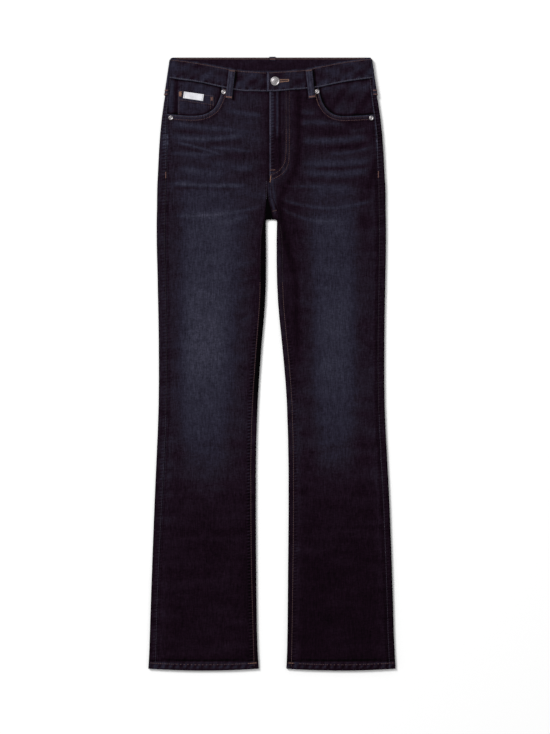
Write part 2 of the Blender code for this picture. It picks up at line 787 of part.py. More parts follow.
def back_loop(name):
    """The centre back loop: flush in the underside, its upper end turned over the waistband's edge."""
    half = PATCH_WALL / 2.0
    lift = BAND_WALL + GAP + half
    path = [(50.0, half), (37.0, half), (20.0, half), (0.8, half), (-0.55, half + 0.15)]
    path += [(-0.85, half + 0.7), (-0.85, lift - 0.7), (0.3, lift), (5.5, lift)]
    points = [Vector(point) for point in path]

    def place(column, row, inside):
        before = points[max(row - 1, 0)]
        after = points[min(row + 1, len(points) - 1)]
        ahead = (after - before).normalized()
        out = Vector((ahead.y, -ahead.x)) * (half if inside else -half)
        spot = points[row] + out
        x = 1.0 + LOOP_WIDTH * (column - 0.5)
        return world(x, spot.x, max(spot.y, 0.0))

    return slab(name, 1, len(points) - 1, place, DENIM_WORN)


# ---------------------------------------------------------------- assembly


def main():
    back_right = back_panel("back_right", -1)
    back_left = back_panel("back_left", 1)
    yoke_right = yoke("yoke_right", -1)
    yoke_left = yoke("yoke_left", 1)
    front_right = front_panel("front_right", -1)
    front_left = front_panel("front_left", 1)

    for name, panel, outline in (
        ("back_pocket_right", back_right, BACK_POCKET),
        ("back_pocket_left", back_left, flipped(BACK_POCKET)),
    ):
        prism(name, outline, 0.0, PATCH_WALL, DENIM)
        cut(panel, cutter("recess_" + name, grown(outline, GAP), -3.0, INLAY))

    cut(front_right, opening_cutter("opening_right", OPENING_RIGHT))
    cut(front_left, opening_cutter("opening_left", OPENING_LEFT))
    pocket_facing("pocket_facing_right", -1, WALL + GAP + PATCH_WALL + GAP)
    pocket_facing("pocket_facing_left", 1, WALL + GAP)
    coin_pocket("coin_pocket")
    label("label")

    band = waistband("waistband")
    half = LOOP_WIDTH / 2.0 + GAP
    loop_recess = ((1.0 - half, -6.0), (1.0 + half, -6.0), (1.0 + half, 50.4), (1.0 - half, 50.4))
    recess = cutter("recess_loop_back", loop_recess, -3.0, INLAY)
    for obj in (band, yoke_right, yoke_left):
        cut(obj, recess)
    back_loop("loop_back")
    for name, ends in FRONT_LOOPS.items():
        front_loop(name, ends)
    side_loop("loop_side_right", -1)
    side_loop("loop_side_left", 1)

    x, down = BUTTON_AT
    overlap_top = BAND_HEIGHT + BAND_RISE
    under_top = BAND_HEIGHT - BAND_DROP
    eye = [(x + 2.7 * math.cos(a), down + 2.7 * math.sin(a)) for a in np.radians(np.arange(20, 341, 32))]
    slot = [(x + 20.5, down - 1.4), (x + 20.5, down + 0.4)]
    cut(band, cutter("buttonhole", eye + slot, under_top + GAP / 2.0, overlap_top + 3.0))
    seat = under_top + GAP
    head = overlap_top + GAP
    radius = BUTTON_RADIUS
    dome = [(0.0, head + 2.5), (radius * 0.42, head + 2.35), (radius * 0.72, head + 1.95)]
    dome += [(radius * 0.8, head + 2.2), (radius * 0.93, head + 1.7), (radius, head + 1.0)]
    dome += [(radius * 0.97, head + 0.3), (radius * 0.85, head), (2.0, head), (2.0, seat), (0.0, seat)]
    turned("button", [(r, z - seat) for r, z in dome], (x, down, seat), NICKEL)

    for name, (x, down) in RIVETS.items():
        foot = top(x, down) + GAP
        r = RIVET_RADIUS
        shape = [(0.0, 1.5), (r * 0.22, 1.5), (r * 0.3, 0.95), (r * 0.52, 0.95), (r * 0.72, 1.4)]
        shape += [(r * 0.9, 1.15), (r, 0.5), (r * 0.97, 0.0), (0.0, 0.0)]
        turned(name, shape, (x, down, foot), NICKEL)


main()
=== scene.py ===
"""Bootcut jeans laid flat on their back: the looks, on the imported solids.

Sizes in the tables are millimetres. x runs to the wearer's left, down runs from the top of the waistband to
the hems, z is up from the surface that the jeans lie on. Right and left are the wearer's, so the right leg
is at -X.
"""

import math
import random

import bmesh
import bpy
import numpy as np
from mathutils import Matrix, Vector


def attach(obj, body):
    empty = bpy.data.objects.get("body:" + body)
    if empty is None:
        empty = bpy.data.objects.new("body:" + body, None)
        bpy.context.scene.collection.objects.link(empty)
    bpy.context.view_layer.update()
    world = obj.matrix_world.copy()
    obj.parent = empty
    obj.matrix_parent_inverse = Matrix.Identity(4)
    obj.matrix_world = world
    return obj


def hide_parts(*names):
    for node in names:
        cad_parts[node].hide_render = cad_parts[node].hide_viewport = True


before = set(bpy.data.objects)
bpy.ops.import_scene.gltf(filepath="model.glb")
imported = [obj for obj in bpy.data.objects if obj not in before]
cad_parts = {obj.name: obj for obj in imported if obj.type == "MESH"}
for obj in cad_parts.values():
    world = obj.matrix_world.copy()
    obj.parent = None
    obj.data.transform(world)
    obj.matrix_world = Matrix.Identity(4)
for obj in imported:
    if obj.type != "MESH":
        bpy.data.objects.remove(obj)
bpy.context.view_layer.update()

MM = 0.001
MID_DOWN = 551.026  # the down value that lies at y = 0

# how thick the cloth is
WALL = 1.2
HEM_WALL = 2.3
PATCH_WALL = 1.0
BAND_WALL = 2.6
LOOP_WALL = 1.2
LABEL_WALL = 0.6

GAP = 0.3  # between a piece and what it lies on
SEAM = 0.4  # between two pieces sewn edge to edge
HEM_DEPTH = 12.0

BAND_HEIGHT = 8.5  # the height of the waistband's upper face
BAND_WIDTH = 36.0
HEM_DOWN = 1099.8
HEM_BOW = 3.6  # how much lower the hems are in the middle than at their sides
NEAR_HEM = 1040.0  # the hems' ripples start below this
FLY_EDGE = -4.2
FLY_END = 214.0
FLY_UNDERLAP = 3.4
# how far the overlapping left side rises and the right side sinks, at the fly and at the waistband's end
FLY_RISE = 0.8
FLY_DROP = 0.7
BAND_RISE = 1.4
BAND_DROP = 1.5
BAND_END = -8.0
BAND_RIGHT = -176.0  # where the waistband folds over at both sides
BAND_LEFT = 172.0
CROTCH_DOWN = 291.8  # the top of the notch between the legs
CROTCH_POINT = 251.0  # where the four panels meet
BACK_SEAM = -0.9
NOTCH_RADIUS = 3.5
VALLEY_DEPTH = 2.9
YOKE_SIDE = 76.0
YOKE_CENTRE = 101.0
BAND_BACK_SEAM = 37.3

# down, right outer edge, right outseam inwards of it, left outer edge, left outseam inwards of it, height
HIPS = (
    (0, 182.2, 6.2, 178.4, 8.6, 8.3),
    (36.9, 187.7, 7.1, 183.7, 9.3, 8.05),
    (65.7, 192, 7.9, 188.4, 10.6, 7.9),
    (94.5, 196.3, 8.9, 193.1, 11.5, 7.75),
    (123.3, 199.7, 10.8, 196.8, 11.3, 7.6),
    (152.1, 202.2, 13.6, 199.4, 11.6, 7.4),
    (180.9, 203.9, 15.1, 201.3, 12.8, 7.2),
    (209.7, 205.3, 16.2, 202.8, 13.2, 7),
    (238.5, 206.6, 16.9, 204.4, 13.7, 6.8),
    (267.3, 206.9, 16.6, 204.6, 13.6, 6.55),
)

# the same columns, then the inner edge and the inseam of the right leg and of the left leg
LEGS = (
    (296.1, 207.5, 16.3, 205.1, 13.5, 6.3, -10.9, -15.4, 9.1, 13),
    (312, 207.5, 16.2, 205.2, 13.5, 6.2, -10.9, -17.6, 8.7, 15.2),
    (350, 207.1, 16.1, 205.1, 13.4, 6, -10.6, -19.8, 8.4, 17.4),
    (386, 206.1, 16, 204.5, 13.3, 5.9, -10.7, -20.3, 8.8, 17.9),
    (422, 205.4, 15.9, 203.8, 13.2, 5.8, -11.5, -20.7, 10, 18.9),
    (458, 204.6, 15.8, 203.1, 13.1, 5.75, -13.6, -22.5, 12.4, 21.1),
    (494, 204, 15.7, 202.6, 13, 5.7, -16.6, -25.3, 15.9, 24.4),
    (530, 203.7, 15.6, 202.4, 13, 5.65, -19.6, -28.1, 19.5, 27.9),
    (566, 203.6, 15.6, 202.3, 13, 5.6, -22.2, -30.6, 22.8, 31.1),
    (602, 203.8, 15.5, 202.6, 12.9, 5.6, -24.5, -32.9, 25.6, 33.8),
    (650, 204.8, 15.5, 203.9, 12.8, 5.6, -26.7, -35.1, 27.7, 35.9),
    (710, 207.3, 15.4, 206.8, 12.7, 5.6, -28.4, -36.6, 29.3, 37.4),
    (782, 210.5, 15, 210.6, 12.6, 5.6, -28.9, -36.9, 29.8, 37.8),
    (854, 213.4, 14.2, 213.6, 12.5, 5.6, -28.8, -36.6, 29.6, 37.6),
    (926, 216.1, 13.5, 216.2, 12.4, 5.6, -28.3, -35.6, 28.9, 36.8),
    (998, 218.6, 13.3, 218.4, 12.4, 5.6, -27.4, -33.8, 28.3, 35.8),
    (1046, 220.1, 13.6, 219.9, 12.4, 5.6, -26.5, -32.5, 27.7, 35),
    (1080, 221.4, 13.8, 221.5, 12.4, 5.55, -25, -31.5, 26.8, 34.3),
    (1099.8, 222.6, 14, 222.6, 12.4, 5.5, -23.6, -30.9, 25.8, 33.7),
)

# x, top edge of the front waistband, seam under it
BAND = (
    (-186, 2.6, 37.4),
    (-160, 5.8, 41),
    (-132.6, 9.9, 45),
    (-108, 14.2, 50.2),
    (-84.5, 19, 55.3),
    (-63.8, 22.4, 59.4),
    (-30, 25.2, 61.2),
    (-8.7, 26.3, 61.6),
    (14, 25.3, 60.9),
    (37.9, 23.7, 58.7),
    (62, 21.4, 56.7),
    (81.8, 17.2, 54.5),
    (101, 13.2, 50.6),
    (120.5, 9.6, 46.4),
    (150, 5.2, 41.6),
    (184, 1.2, 37.2),
)

# x, down along the edge of each front pocket opening, from the waistband to the outseam
OPENING = {
    -1: (
        (-90.2, 50),
        (-91.4, 65.7),
        (-95.5, 77.5),
        (-102.3, 90.4),
        (-112, 98.6),
        (-125.7, 104.2),
        (-146.4, 105.7),
        (-176.7, 103.5),
        (-191, 101.8),
    ),
    1: (
        (84.2, 49),
        (86, 65.7),
        (91, 82),
        (100, 95.2),
        (112.2, 103.4),
        (127.4, 106.2),
        (150, 105.6),
        (172.7, 104.2),
        (188, 102.6),
    ),
}

BACK_POCKET = ((-164.0, 97.0), (-27.0, 112.0), (-31.0, 226.0), (-93.0, 251.0), (-158.0, 220.0))

FRONT_LOOPS = {
    "loop_front_right": (-71.4, 22.6, -77.6, 75.0),
    "loop_front_left": (66.2, 22.2, 72.2, 74.2),
}
LOOP_WIDTH = 11.6
LOOP_BACK_X = 1.0

COIN_LEFT = -169.0
COIN_RIGHT = -104.0
COIN_TOP = 59.4
COIN_SLANT = 0.149
COIN_BOTTOM = 122.0
LABEL_CORNERS = ((-158.1, 61.9), (-122.3, 66.9), (-124.1, 78.8), (-159.7, 73.6))

BUTTON_AT = (5.7, 43.7)
BUTTON_RADIUS = 8.3
RIVETS = {
    "rivet_inner_right": (-86.9, 62.8),
    "rivet_outer_right": (-181.7, 109.2),
    "rivet_inner_left": (81.5, 62.2),
    "rivet_outer_left": (178.7, 109.6),
}
RIVET_RADIUS = 4.2


# ---------------------------------------------------------------- curves and steps


def smooth(t):
    t = np.clip(t, 0.0, 1.0)
    return t * t * (3.0 - 2.0 * t)


def bump(t):
    return np.exp(-np.square(t))


def ease(value, start, length):
    """0 up to start, 1 from start + length on, and smooth between."""
    return smooth((value - start) / length)


def fall(value, start, length):
    """1 up to start, 0 from start + length on, and smooth between."""
    return 1.0 - ease(value, start, length)


def hump(value, middle, half):
    """1 in the middle, and next to nothing two half widths away."""
    return bump((value - middle) / half)


def curve_through(table, column):
    """A smooth function of the table's first column, through the values of another column."""
    at = np.array([row[0] for row in table])
    values = np.array([row[column] for row in table])
    slopes = np.gradient(values, at)

    def value(where):
        where = np.asarray(where, dtype=float)
        i = np.clip(np.searchsorted(at, where, side="right") - 1, 0, len(at) - 2)
        step = at[i + 1] - at[i]
        t = (where - at[i]) / step
        left = values[i] + t * step * slopes[i]
        right = values[i + 1] + (t - 1.0) * step * slopes[i + 1]
        blend = smooth(t)
        return left * (1.0 - blend) + right * blend

    return value


def rounded_path(points, spacing):
    """Points every so often along a smooth curve through the given ones."""
    points = np.array(points, dtype=float)
    ends = np.vstack([2 * points[0] - points[1], points, 2 * points[-1] - points[-2]])
    found = []
    for a, b, c, d in zip(ends, ends[1:], ends[2:], ends[3:]):
        for t in np.linspace(0.0, 1.0, 12, endpoint=False):
            bend = (2 * a - 5 * b + 4 * c - d) * t * t + (3 * b - a - 3 * c + d) * t**3
            found.append(0.5 * (2 * b + (c - a) * t + bend))
    return resampled(found + [points[-1]], spacing)


def resampled(points, spacing):
    """The same path with its points about a spacing apart."""
    points = np.array(points, dtype=float)
    run = np.concatenate([[0.0], np.cumsum(np.linalg.norm(np.diff(points, axis=0), axis=1))])
    count = max(int(round(run[-1] / spacing)), 1)
    at = np.linspace(0.0, run[-1], count + 1)
    return np.column_stack([np.interp(at, run, points[:, 0]), np.interp(at, run, points[:, 1])])


def shifted(path, by):
    """The path moved sideways, to the right of its direction in (x, down) where by is positive."""
    ahead = np.gradient(path, axis=0)
    ahead /= np.linalg.norm(ahead, axis=1)[:, None]
    return path + np.column_stack([-ahead[:, 1], ahead[:, 0]]) * by


def distance_to(path, x, down):
    """Distance from each point to the nearest of a path's segments."""
    best = np.full(np.shape(x), 1e9)
    for (ax, ay), (bx, by) in zip(path, path[1:]):
        length = max((bx - ax) ** 2 + (by - ay) ** 2, 1e-9)
        t = np.clip(((x - ax) * (bx - ax) + (down - ay) * (by - ay)) / length, 0.0, 1.0)
        best = np.minimum(best, np.hypot(x - ax - t * (bx - ax), down - ay - t * (by - ay)))
    return best


BODY = tuple(row[:6] for row in HIPS + LEGS)
height_at = curve_through(BODY, 5)
band_top = curve_through(BAND, 1)
band_seam = curve_through(BAND, 2)
OUTER = {-1: curve_through(BODY, 1), 1: curve_through(BODY, 3)}
OUTSEAM_IN = {-1: curve_through(BODY, 2), 1: curve_through(BODY, 4)}
INNER = {-1: curve_through(LEGS, 6), 1: curve_through(LEGS, 8)}
INSEAM_LEG = {-1: curve_through(LEGS, 7), 1: curve_through(LEGS, 9)}
INSEAM_TOP = (
    (251.0, -5.0, -3.6),
    (256.0, -7.2, 2.4),
    (262.0, -9.2, 5.6),
    (270.0, -11.0, 8.4),
    (280.0, -12.9, 10.8),
    (296.1, -15.4, 13.0),
    (312.0, -17.6, 15.2),
)
INSEAM_UP = {-1: curve_through(INSEAM_TOP, 1), 1: curve_through(INSEAM_TOP, 2)}


def outseam_x(side, down):
    return side * (OUTER[side](down) - OUTSEAM_IN[side](down))


def inseam_x(side, down):
    down = np.maximum(down, CROTCH_POINT)
    return np.where(down < 304, INSEAM_UP[side](down), INSEAM_LEG[side](down))


def form_top(x, down):
    """The solids' upper surface."""
    z = height_at(down)
    beside_fly = ease(down, 64, 18) * fall(down, 200, 40)
    z += beside_fly * (0.45 * hump(x, 40, 6) - 0.55 * hump(x, 49.5, 5.5))
    reach = np.clip((down - 238.0) / 54, 0.0, 1.0)
    depth = VALLEY_DEPTH * ease(down, 238, 34) * fall(down, 296, 50)
    return z - depth * bump((x + 4.4 - 3.5 * reach) / (3.5 + 6 * reach))


def fly_rise(x, down):
    """How far the left front lies higher beside the fly's edge, over the right one."""
    return FLY_RISE * fall(x, 13, 26) * fall(down, FLY_END, 14)


def fly_drop(x, down):
    """How far the right front lies lower, under the left one."""
    return FLY_DROP * ease(x, -13, 7.5) * fall(down, FLY_END - 1, 12)


def hem_bow(side, x, down):
    """How much further down the cloth reaches towards the middle of a hem."""
    inner = INNER[side](np.maximum(down, 1000.0))
    outer = side * OUTER[side](down)
    t = np.clip((x - inner) / (outer - inner), 0.0, 1.0)
    return HEM_BOW * 4 * t * (1.0 - t) * ease(down, 1010, 85)


def wall_at(down):
    """The cloth's thickness, which grows at the turned hem."""
    return WALL + (HEM_WALL - WALL) * ease(down, HEM_DOWN - HEM_DEPTH - 1, 2)


def band_rise(x):
    return BAND_RISE * fall(x, 31, 26)


def band_drop(x):
    return BAND_DROP * ease(x, -28, 18)


# ---------------------------------------------------------------- seams and stitched lines, in (x, down)

OPENING_PATH = {side: rounded_path(OPENING[side], 1.5) for side in (-1, 1)}


def along(function, start, end, step=3.0):
    """Points down the cloth, with x as a function of down."""
    downs = np.linspace(start, end, int(abs(end - start) / step) + 2)
    return np.column_stack([function(downs), downs])


# the curved stitching of the fly: its outer and its inner row
FLY_J = ((31.2, 60), (31.2, 110), (31.2, 160), (30.4, 184), (27, 198), (19, 209), (8.5, 216), (-3, 220.5))
FLY_J_INNER = (
    (25.6, 60), (25.6, 110), (25.6, 158), (24.8, 180), (21.6, 192), (15.5, 201.5), (7, 208), (-3, 211.5),
)
FLY_J, FLY_J_INNER = rounded_path(FLY_J, 1.5), rounded_path(FLY_J_INNER, 1.5)

# x, down at the start, middle and end of a worn crease, its half width and height, and how much paler it is;
# where negative, a trough with painted shade
CREASES = (
    (-84, 95.5, -57, 100.5, -14, 103.5, 3.6, 0.25, 15),
    (-188, 118, -120, 126, -30, 135, 4.2, 0.35, 16),
    (-188, 141, -130, 147.5, -40, 136, 4.2, 0.40, 20),
    (-178, 152, -132, 162.5, -84, 178, 2.0, 0.25, 21),
    (-114, 162.5, -80, 165, -30, 171, 2.4, 0.25, 15),
    (-190, 171.5, -150, 174, -92, 175.5, 3.2, 0.30, 13),
    (-170, 199, -126, 207, -80, 211.5, 6.6, 0.35, 15),
    (-112, 192, -99, 193, -84, 193, 4.0, 0.20, 9),
    (-74, 199, -52, 200, -30, 199, 4.5, 0.25, 11),
    (-192, 226, -117, 230.4, -36, 230, 3.1, 0.50, 27),
    (-172, 224, -158, 224, -142, 224, 3.0, 0.20, 8),
    (-186, 284, -102, 283.0, -14, 267, 3.0, 0.40, 17),
    (-106, 302, -72, 294, -36, 284, 3.6, 0.30, 10),
    (-66, 375, -45, 370, -23, 363, 3.5, 0.35, 8),
    (-68, 404, -45, 399, -22, 392, 3.5, 0.35, 8),
    (-72, 433, -55, 431, -36, 426, 3.2, 0.30, 8),
    (-56, 472, -43, 468, -29, 461, 3.2, 0.30, 9),
    (-60, 521, -46, 517, -33, 510, 3.5, 0.25, 5),
    (50, 99, 62, 99.7, 78, 101, 4.2, 0.25, 13),
    (46, 119, 84, 117.6, 138, 122, 4.6, 0.35, 17),
    (42, 151, 104, 150, 180, 142, 5.6, 0.50, 19),
    (140, 134, 154, 132, 170, 130, 4.0, 0.25, 7),
    (98, 174.5, 136, 171.5, 186, 160.5, 3.2, 0.30, 16),
    (44, 190, 104, 191, 184, 185, 6.0, 0.50, 20),
    (48, 207, 110, 210, 182, 203, 5.6, 0.50, 20),
    (66, 233, 104, 236, 146, 231, 8.0, 0.25, 9),
    (16, 231, 50, 232.5, 92, 233, 2.0, 0.30, 12),
    (8, 252, 92, 271, 192, 253, 3.0, 0.45, 19),
    (10, 267, 52, 288, 128, 293, 3.0, 0.40, 15),
    (30, 350, 44, 358, 62, 362, 4.0, 0.30, 5),
    (34, 392, 48, 399, 64, 402, 4.0, 0.30, 5),
    (36, 430, 50, 437, 66, 440, 3.5, 0.25, 5),
    (70, 199, 130, 199.5, 182, 194, 3.0, -0.25, -9),
    (-184, 235, -115, 236, -44, 237, 3.0, -0.30, -9),
    (-184, 130.5, -150, 134.5, -112, 138, 2.8, -0.20, -8),
    (-170, 160, -148, 166, -122, 171, 2.2, -0.15, -6),
    (-120, 155, -86, 156, -50, 152, 5.0, -0.25, -6),
    (-124, 178, -84, 178, -48, 176, 5.0, -0.20, -5),
    (56, 134, 96, 136, 150, 132, 5.0, -0.20, -6),
    (90, 163, 136, 160.5, 184, 150.5, 3.0, -0.20, -8),
    (185, 176, 182, 207, 171, 246, 5.0, -0.15, -9),
    (-170, 293, -110, 294, -60, 284, 3.5, -0.25, -5),
    (58, 220, 110, 224, 170, 216, 4.5, -0.20, -5),
    (8, 259, 60, 271, 120, 278, 3.0, -0.20, -6),
    (-3.5, 216, -1.6, 250, 8, 284, 1.8, 0.15, 21),
)


def creases(x, down, which, wide=1.0):
    """Sum of the worn creases, as height (which = 7) or as paleness (which = 8), where negative paleness is
    painted shade in a trough.
    """
    total = np.zeros(np.shape(x))
    for crease in CREASES:
        x0, d0, xm, dm, x1, d1, half = crease[:7]
        length = math.hypot(x1 - x0, d1 - d0)
        ux, ud = (x1 - x0) / length, (d1 - d0) / length
        run = ((x - x0) * ux + (down - d0) * ud) / length
        off = (down - d0) * ux - (x - x0) * ud
        middle = ((xm - x0) * ux + (dm - d0) * ud) / length
        bow = ((dm - d0) * ux - (xm - x0) * ud) / (4 * middle * (1.0 - middle))
        off = off - bow * 4 * run * (1.0 - run)
        ends = smooth(run / 0.18) * fall(run, 0.79, 0.21)
        broken = 0.78 + 0.22 * np.sin(run * length / 7 + d0) * np.sin(run * length / 17 + x0)
        total += crease[which] * bump(off / (half * wide)) * ends * broken
    return total


def pucker(run, across, pitch, reach, phase):
    """Uneven ripples along a seam: run is measured along it and across away from it."""
    wave = np.sin(2 * math.pi * run / pitch + phase + 1.3 * np.sin(run / 41 + phase))
    uneven = 0.6 + 0.4 * np.sin(run / 23 + 2.1 * phase)
    return wave * uneven * bump(across / reach)


def relief(x, down):
    """Creases, puckers and the slight unevenness of the upper layer."""
    z = 0.9 * creases(x, down, 7) - 0.6 * creases(x, down - 4.5, 7, 1.3)
    z += 0.16 * np.sin(x / 31 + down / 57) * np.sin(down / 73 - x / 47)
    z += 0.10 * np.sin(x / 13 - down / 38 + 1.0) * np.sin(down / 29 + x / 61)
    for side in (-1, 1):
        across = (x - outseam_x(side, down)) * side
        z += 0.20 * pucker(down + 0.5 * across, across + 3.0, 11.0, 6.0, 0.7 + side)
        z += 0.16 * hump(across, -7, 4)
        leg = ease(down, 255, 20)
        across = (x - inseam_x(side, down)) * side
        z += leg * 0.24 * pucker(down - 0.6 * across, across - 4.0, 9.0, 6.0, 2.2 + side)
    hem = HEM_DOWN - down + 2.0
    z += 0.26 * pucker(x + 0.8 * hem, hem - 13.0, 6.6, 5.0, 0.4) * (down > NEAR_HEM)
    z += 0.30 * hump(hem, 15.5, 2.5) * (down > NEAR_HEM)
    return z * ease(distance_from_sides(x, down), 3.2, 6)


def distance_from_sides(x, down):
    """Distance from the jeans' outer edge, or from the notch or a leg's inner edge where that is nearer."""
    side = np.where(x < BACK_SEAM, -1, 1)
    outer = np.where(side < 0, OUTER[-1](down), OUTER[1](down))
    inner = np.where(side < 0, INNER[-1](down), INNER[1](down))
    from_notch = np.where(np.abs(x) < 12, np.maximum(CROTCH_DOWN - down, 0.0), 99.0)
    return np.minimum(outer - np.abs(x), np.where(down > 289, (x - inner) * side, from_notch))


def surface(x, down):
    """The upper surface of the front panels, seen from above."""
    z = form_top(x, down) + relief(x, down)
    front = np.where(x > FLY_EDGE, fly_rise(x, down), -fly_drop(x, down))
    return z + np.where(down < FLY_END + 14.0, front, 0.0)


# ---------------------------------------------------------------- fading and painted shade, as a value at each point

DARKEST = 1.0
TONE_RANGE = 71.0  # from the darkest shade to the palest


def tone(level):
    """A brightness, as the fade-and-shade value that the denim material turns back into it."""
    return (level - DARKEST) / TONE_RANGE


# painted shade along the fold that runs from beside the fly down the inside of the left thigh
FOLD_SHADE_PATH = ((47, 60), (48, 110), (48, 160), (45, 190), (36, 215), (22, 240), (13, 262), (16, 292), (22, 320))
FOLD_SHADE_PATH = rounded_path(FOLD_SHADE_PATH + ((29, 346), (37, 370), (43, 418), (44, 470), (46, 520), (48, 560)), 6.0)


def fade_across(x, down):
    """How far each place lies in its leg's worn front: 1 along the middle, with the sharper edge outside."""
    low = ease(down, 300, 150)
    reach = 58.0 - 16 * low - 7 * ease(down, 590, 80)
    inward = np.power(np.abs(x + 112.0 + 5 * ease(down, 450, 60)) / reach, 2.6 + 0.6 * low)
    right = np.where(x < -112, np.power(np.abs(x + 112.0) / 50, 6.0), inward)
    left = np.power(np.abs(x - 108.0 - 5 * low) / (41.0 - 5 * low), 4.0)
    return np.exp(-np.where(x < BACK_SEAM, right, left))


def crotch_shade(x, down):
    """Painted shade: the black wedge between the legs above the notch."""
    reach = ease(down, 236, 58)
    off = np.abs(x + 9.2 - 3.6 * reach) / (1.4 + 6.4 * reach**1.5)
    return np.exp(-np.power(off, 4.0)) * ease(down, 226, 16) * (down < 310)


def wear_and_shade_level(x, down, top=1.0):
    """How bright the denim is, from its fade and wear and from painted shade: near 0 at the crotch, about 70
    at worn edges. top is 1 on the upper layer.
    """
    right = x < BACK_SEAM
    level = 28.0 + top * np.where(right, 1.5, -1.2) - 12 * ease(down, 590, 330)
    level -= top * np.where(right, 0.0, 3.2) * fall(down, 125, 90)
    thigh = 2 * ease(down, 110, 60) + 8 * ease(down, 218, 26)
    thigh += 7 * ease(down, 264, 24) + 8 * ease(down, 340, 150)
    thigh = thigh - 9 * ease(down, 545, 85) - 16 * ease(down, 630, 190)
    left = 0.90 * thigh - 3.5 * hump(down, 272, 20) - 2.6 * hump(down, 515, 60)
    thigh = np.where(right, thigh, left)
    level += fade_across(x, down) * thigh + 2 * hump(down, 880, 60) * (x > 0)
    level += top * 5 * hump(x, -172, 14) * hump(down, 128, 13)
    level -= top * 3 * hump(x, 160, 15) * hump(down, 166, 10)
    # purple, unfaded cloth inside of the thighs
    inner = hump(np.abs(x), 34, 18) * ease(down, 250, 40) * fall(down, 560, 120)
    level -= 3.5 * inner
    # paler worn creases, and painted shade in the troughs
    level += top * creases(x, down, 8) * (1.0 + 0.15 * right * (down < 222))
    # painted shade along the fold beside the fly
    fold = bump(distance_to(FOLD_SHADE_PATH, x, down) / 6.5) * (x > 0)
    level -= top * fold * (10.0 - 3 * ease(down, 470, 60) - 7 * ease(down, 520, 50))
    for s in (-1, 1):
        across = (x - outseam_x(s, down)) * s
        broken = 0.60 + 0.40 * np.sin(down / 1.9 + s) * np.sin(down / 13)
        high = hump(down, 148, 19) * (0.15 + 0.85 * top)
        if s < 0:
            edges = hump(across, -0.6, 1.5) + 0.9 * hump(across, 4.6, 2.2)
            level += (5.0 + 40 * high) * broken * edges
        else:
            long = ease(down, 44, 8) * fall(down, 158, 14) * top
            level += (5.0 + 30 * long + 26 * high) * broken * hump(across, 0.8, 1.5)
            level -= 14 * hump(across, 3, 1.5) * hump(down, 110, 60)
        outside = ease(across, -7, 5) * ease(down, 170, 60) * (0.4 + 0.6 * top)
        level = level - (3.5 if s < 0 else 5.5) * outside - (6.0 if s > 0 else 0.0) * high * (across > 1.8)
        level -= 4 * hump(across, -3.2, 2.2)
        level += 7 * ease(down, 640, 120) * hump(across, 1, 13)
        leg = ease(down, 262, 20) * top
        across = (x - inseam_x(s, down)) * s
        low = ease(down, 420, 80)
        level += leg * 7 * low * hump(across, 0.2, 1.5)
        level -= leg * (3 * hump(across, 7, 8) + low * 2 * hump(across, 4.6, 2.8))
        if s > 0:
            level += 9 * leg * ease(down, 560, 120) * hump(across, 8, 7)
    hip = hump(down, 270, 70) * (x > 0)
    level -= hip * (5.5 * hump(x, 166, 13) + 4.5 * hump(x, 36, 24))
    # the inner edge of the right leg turns down, away from the light
    leg = ease(down, 285, 20) * (1.0 - 0.8 * ease(down, 590, 90)) * top
    beyond = x - inseam_x(-1, down)
    level -= leg * (21 * ease(beyond, -0.6, 2) + 5 * ease(beyond, -7, 5)) * (x < 0)
    # painted shade where the cloth rolls down at the edges, and in the crotch wedge
    level -= top * 9 * (1.0 - smooth(distance_from_sides(x, down) / 2.4)) * (down > 100)
    level -= top * 34 * crotch_shade(x, down)
    hem = HEM_DOWN - down
    # paler along the hem's stitched line, with a painted shadow line just above the hem
    level += 16 * hump(hem, 10.2, 2) - 16 * hump(hem, 15, 1.6)
    return level + 10 * hump(hem, 3.4, 3.8)


def seam_masks(x, down, top=1.0):
    """Where the cloth ripples: rungs along upright seams, and ropes along the hems and the waistband seam."""
    rungs = np.zeros(np.shape(x))
    for s in (-1, 1):
        across = (x - outseam_x(s, down)) * s
        high = hump(down, 150, 50)
        rungs += (0.50 + 0.7 * high) * hump(across, 4.5, 4) + 0.25 * hump(across, -4, 3)
        across = (x - inseam_x(s, down)) * s
        leg = ease(down, 440, 90) * top
        rungs = rungs + leg * (1.3 if s < 0 else 0.7) * hump(across, 5, 3)
    hem = HEM_DOWN - down
    ropes = 1.1 * hump(hem, 3.6, 3.6) + 0.35 * hump(hem, 14, 4)
    ropes += 0.4 * top * hump(down - band_seam(x), 3, 3)
    return rungs, ropes


# ---------------------------------------------------------------- materials


def linear(r, g, b, gain=1.0):
    """A colour read from a screen, in the renderer's linear values."""
    found = []
    for value in (r, g, b):
        value /= 255.0
        value = value / 12.92 if value <= 0.04045 else ((value + 0.055) / 1.055) ** 2.4
        found.append(value * gain)
    return (*found, 1.0)


# how bright a white surface turned up looks by the sky alone, and by the key light alone
WORLD_LIGHT = 0.64
KEY_LIGHT = 0.62
GAIN = 0.75  # the cloth's own colour, against the screen values below


def new_group(name, inputs, outputs):
    group = bpy.data.node_groups.new(name, "ShaderNodeTree")
    for label, kind in inputs:
        group.interface.new_socket(name=label, in_out="INPUT", socket_type=kind)
    for label, kind in outputs:
        group.interface.new_socket(name=label, in_out="OUTPUT", socket_type=kind)
    return group, group.nodes.new("NodeGroupInput"), group.nodes.new("NodeGroupOutput")


def new_material(name):
    material = bpy.data.materials.new(name)
    material.use_nodes = True
    return material, material.node_tree, material.node_tree.nodes["Principled BSDF"]


def fill(tree, made, inputs):
    """Links a node's inputs to other nodes, or sets them."""
    for key, value in inputs.items():
        if isinstance(value, bpy.types.NodeSocket):
            tree.links.new(value, made.inputs[key])
        else:
            made.inputs[key].default_value = value


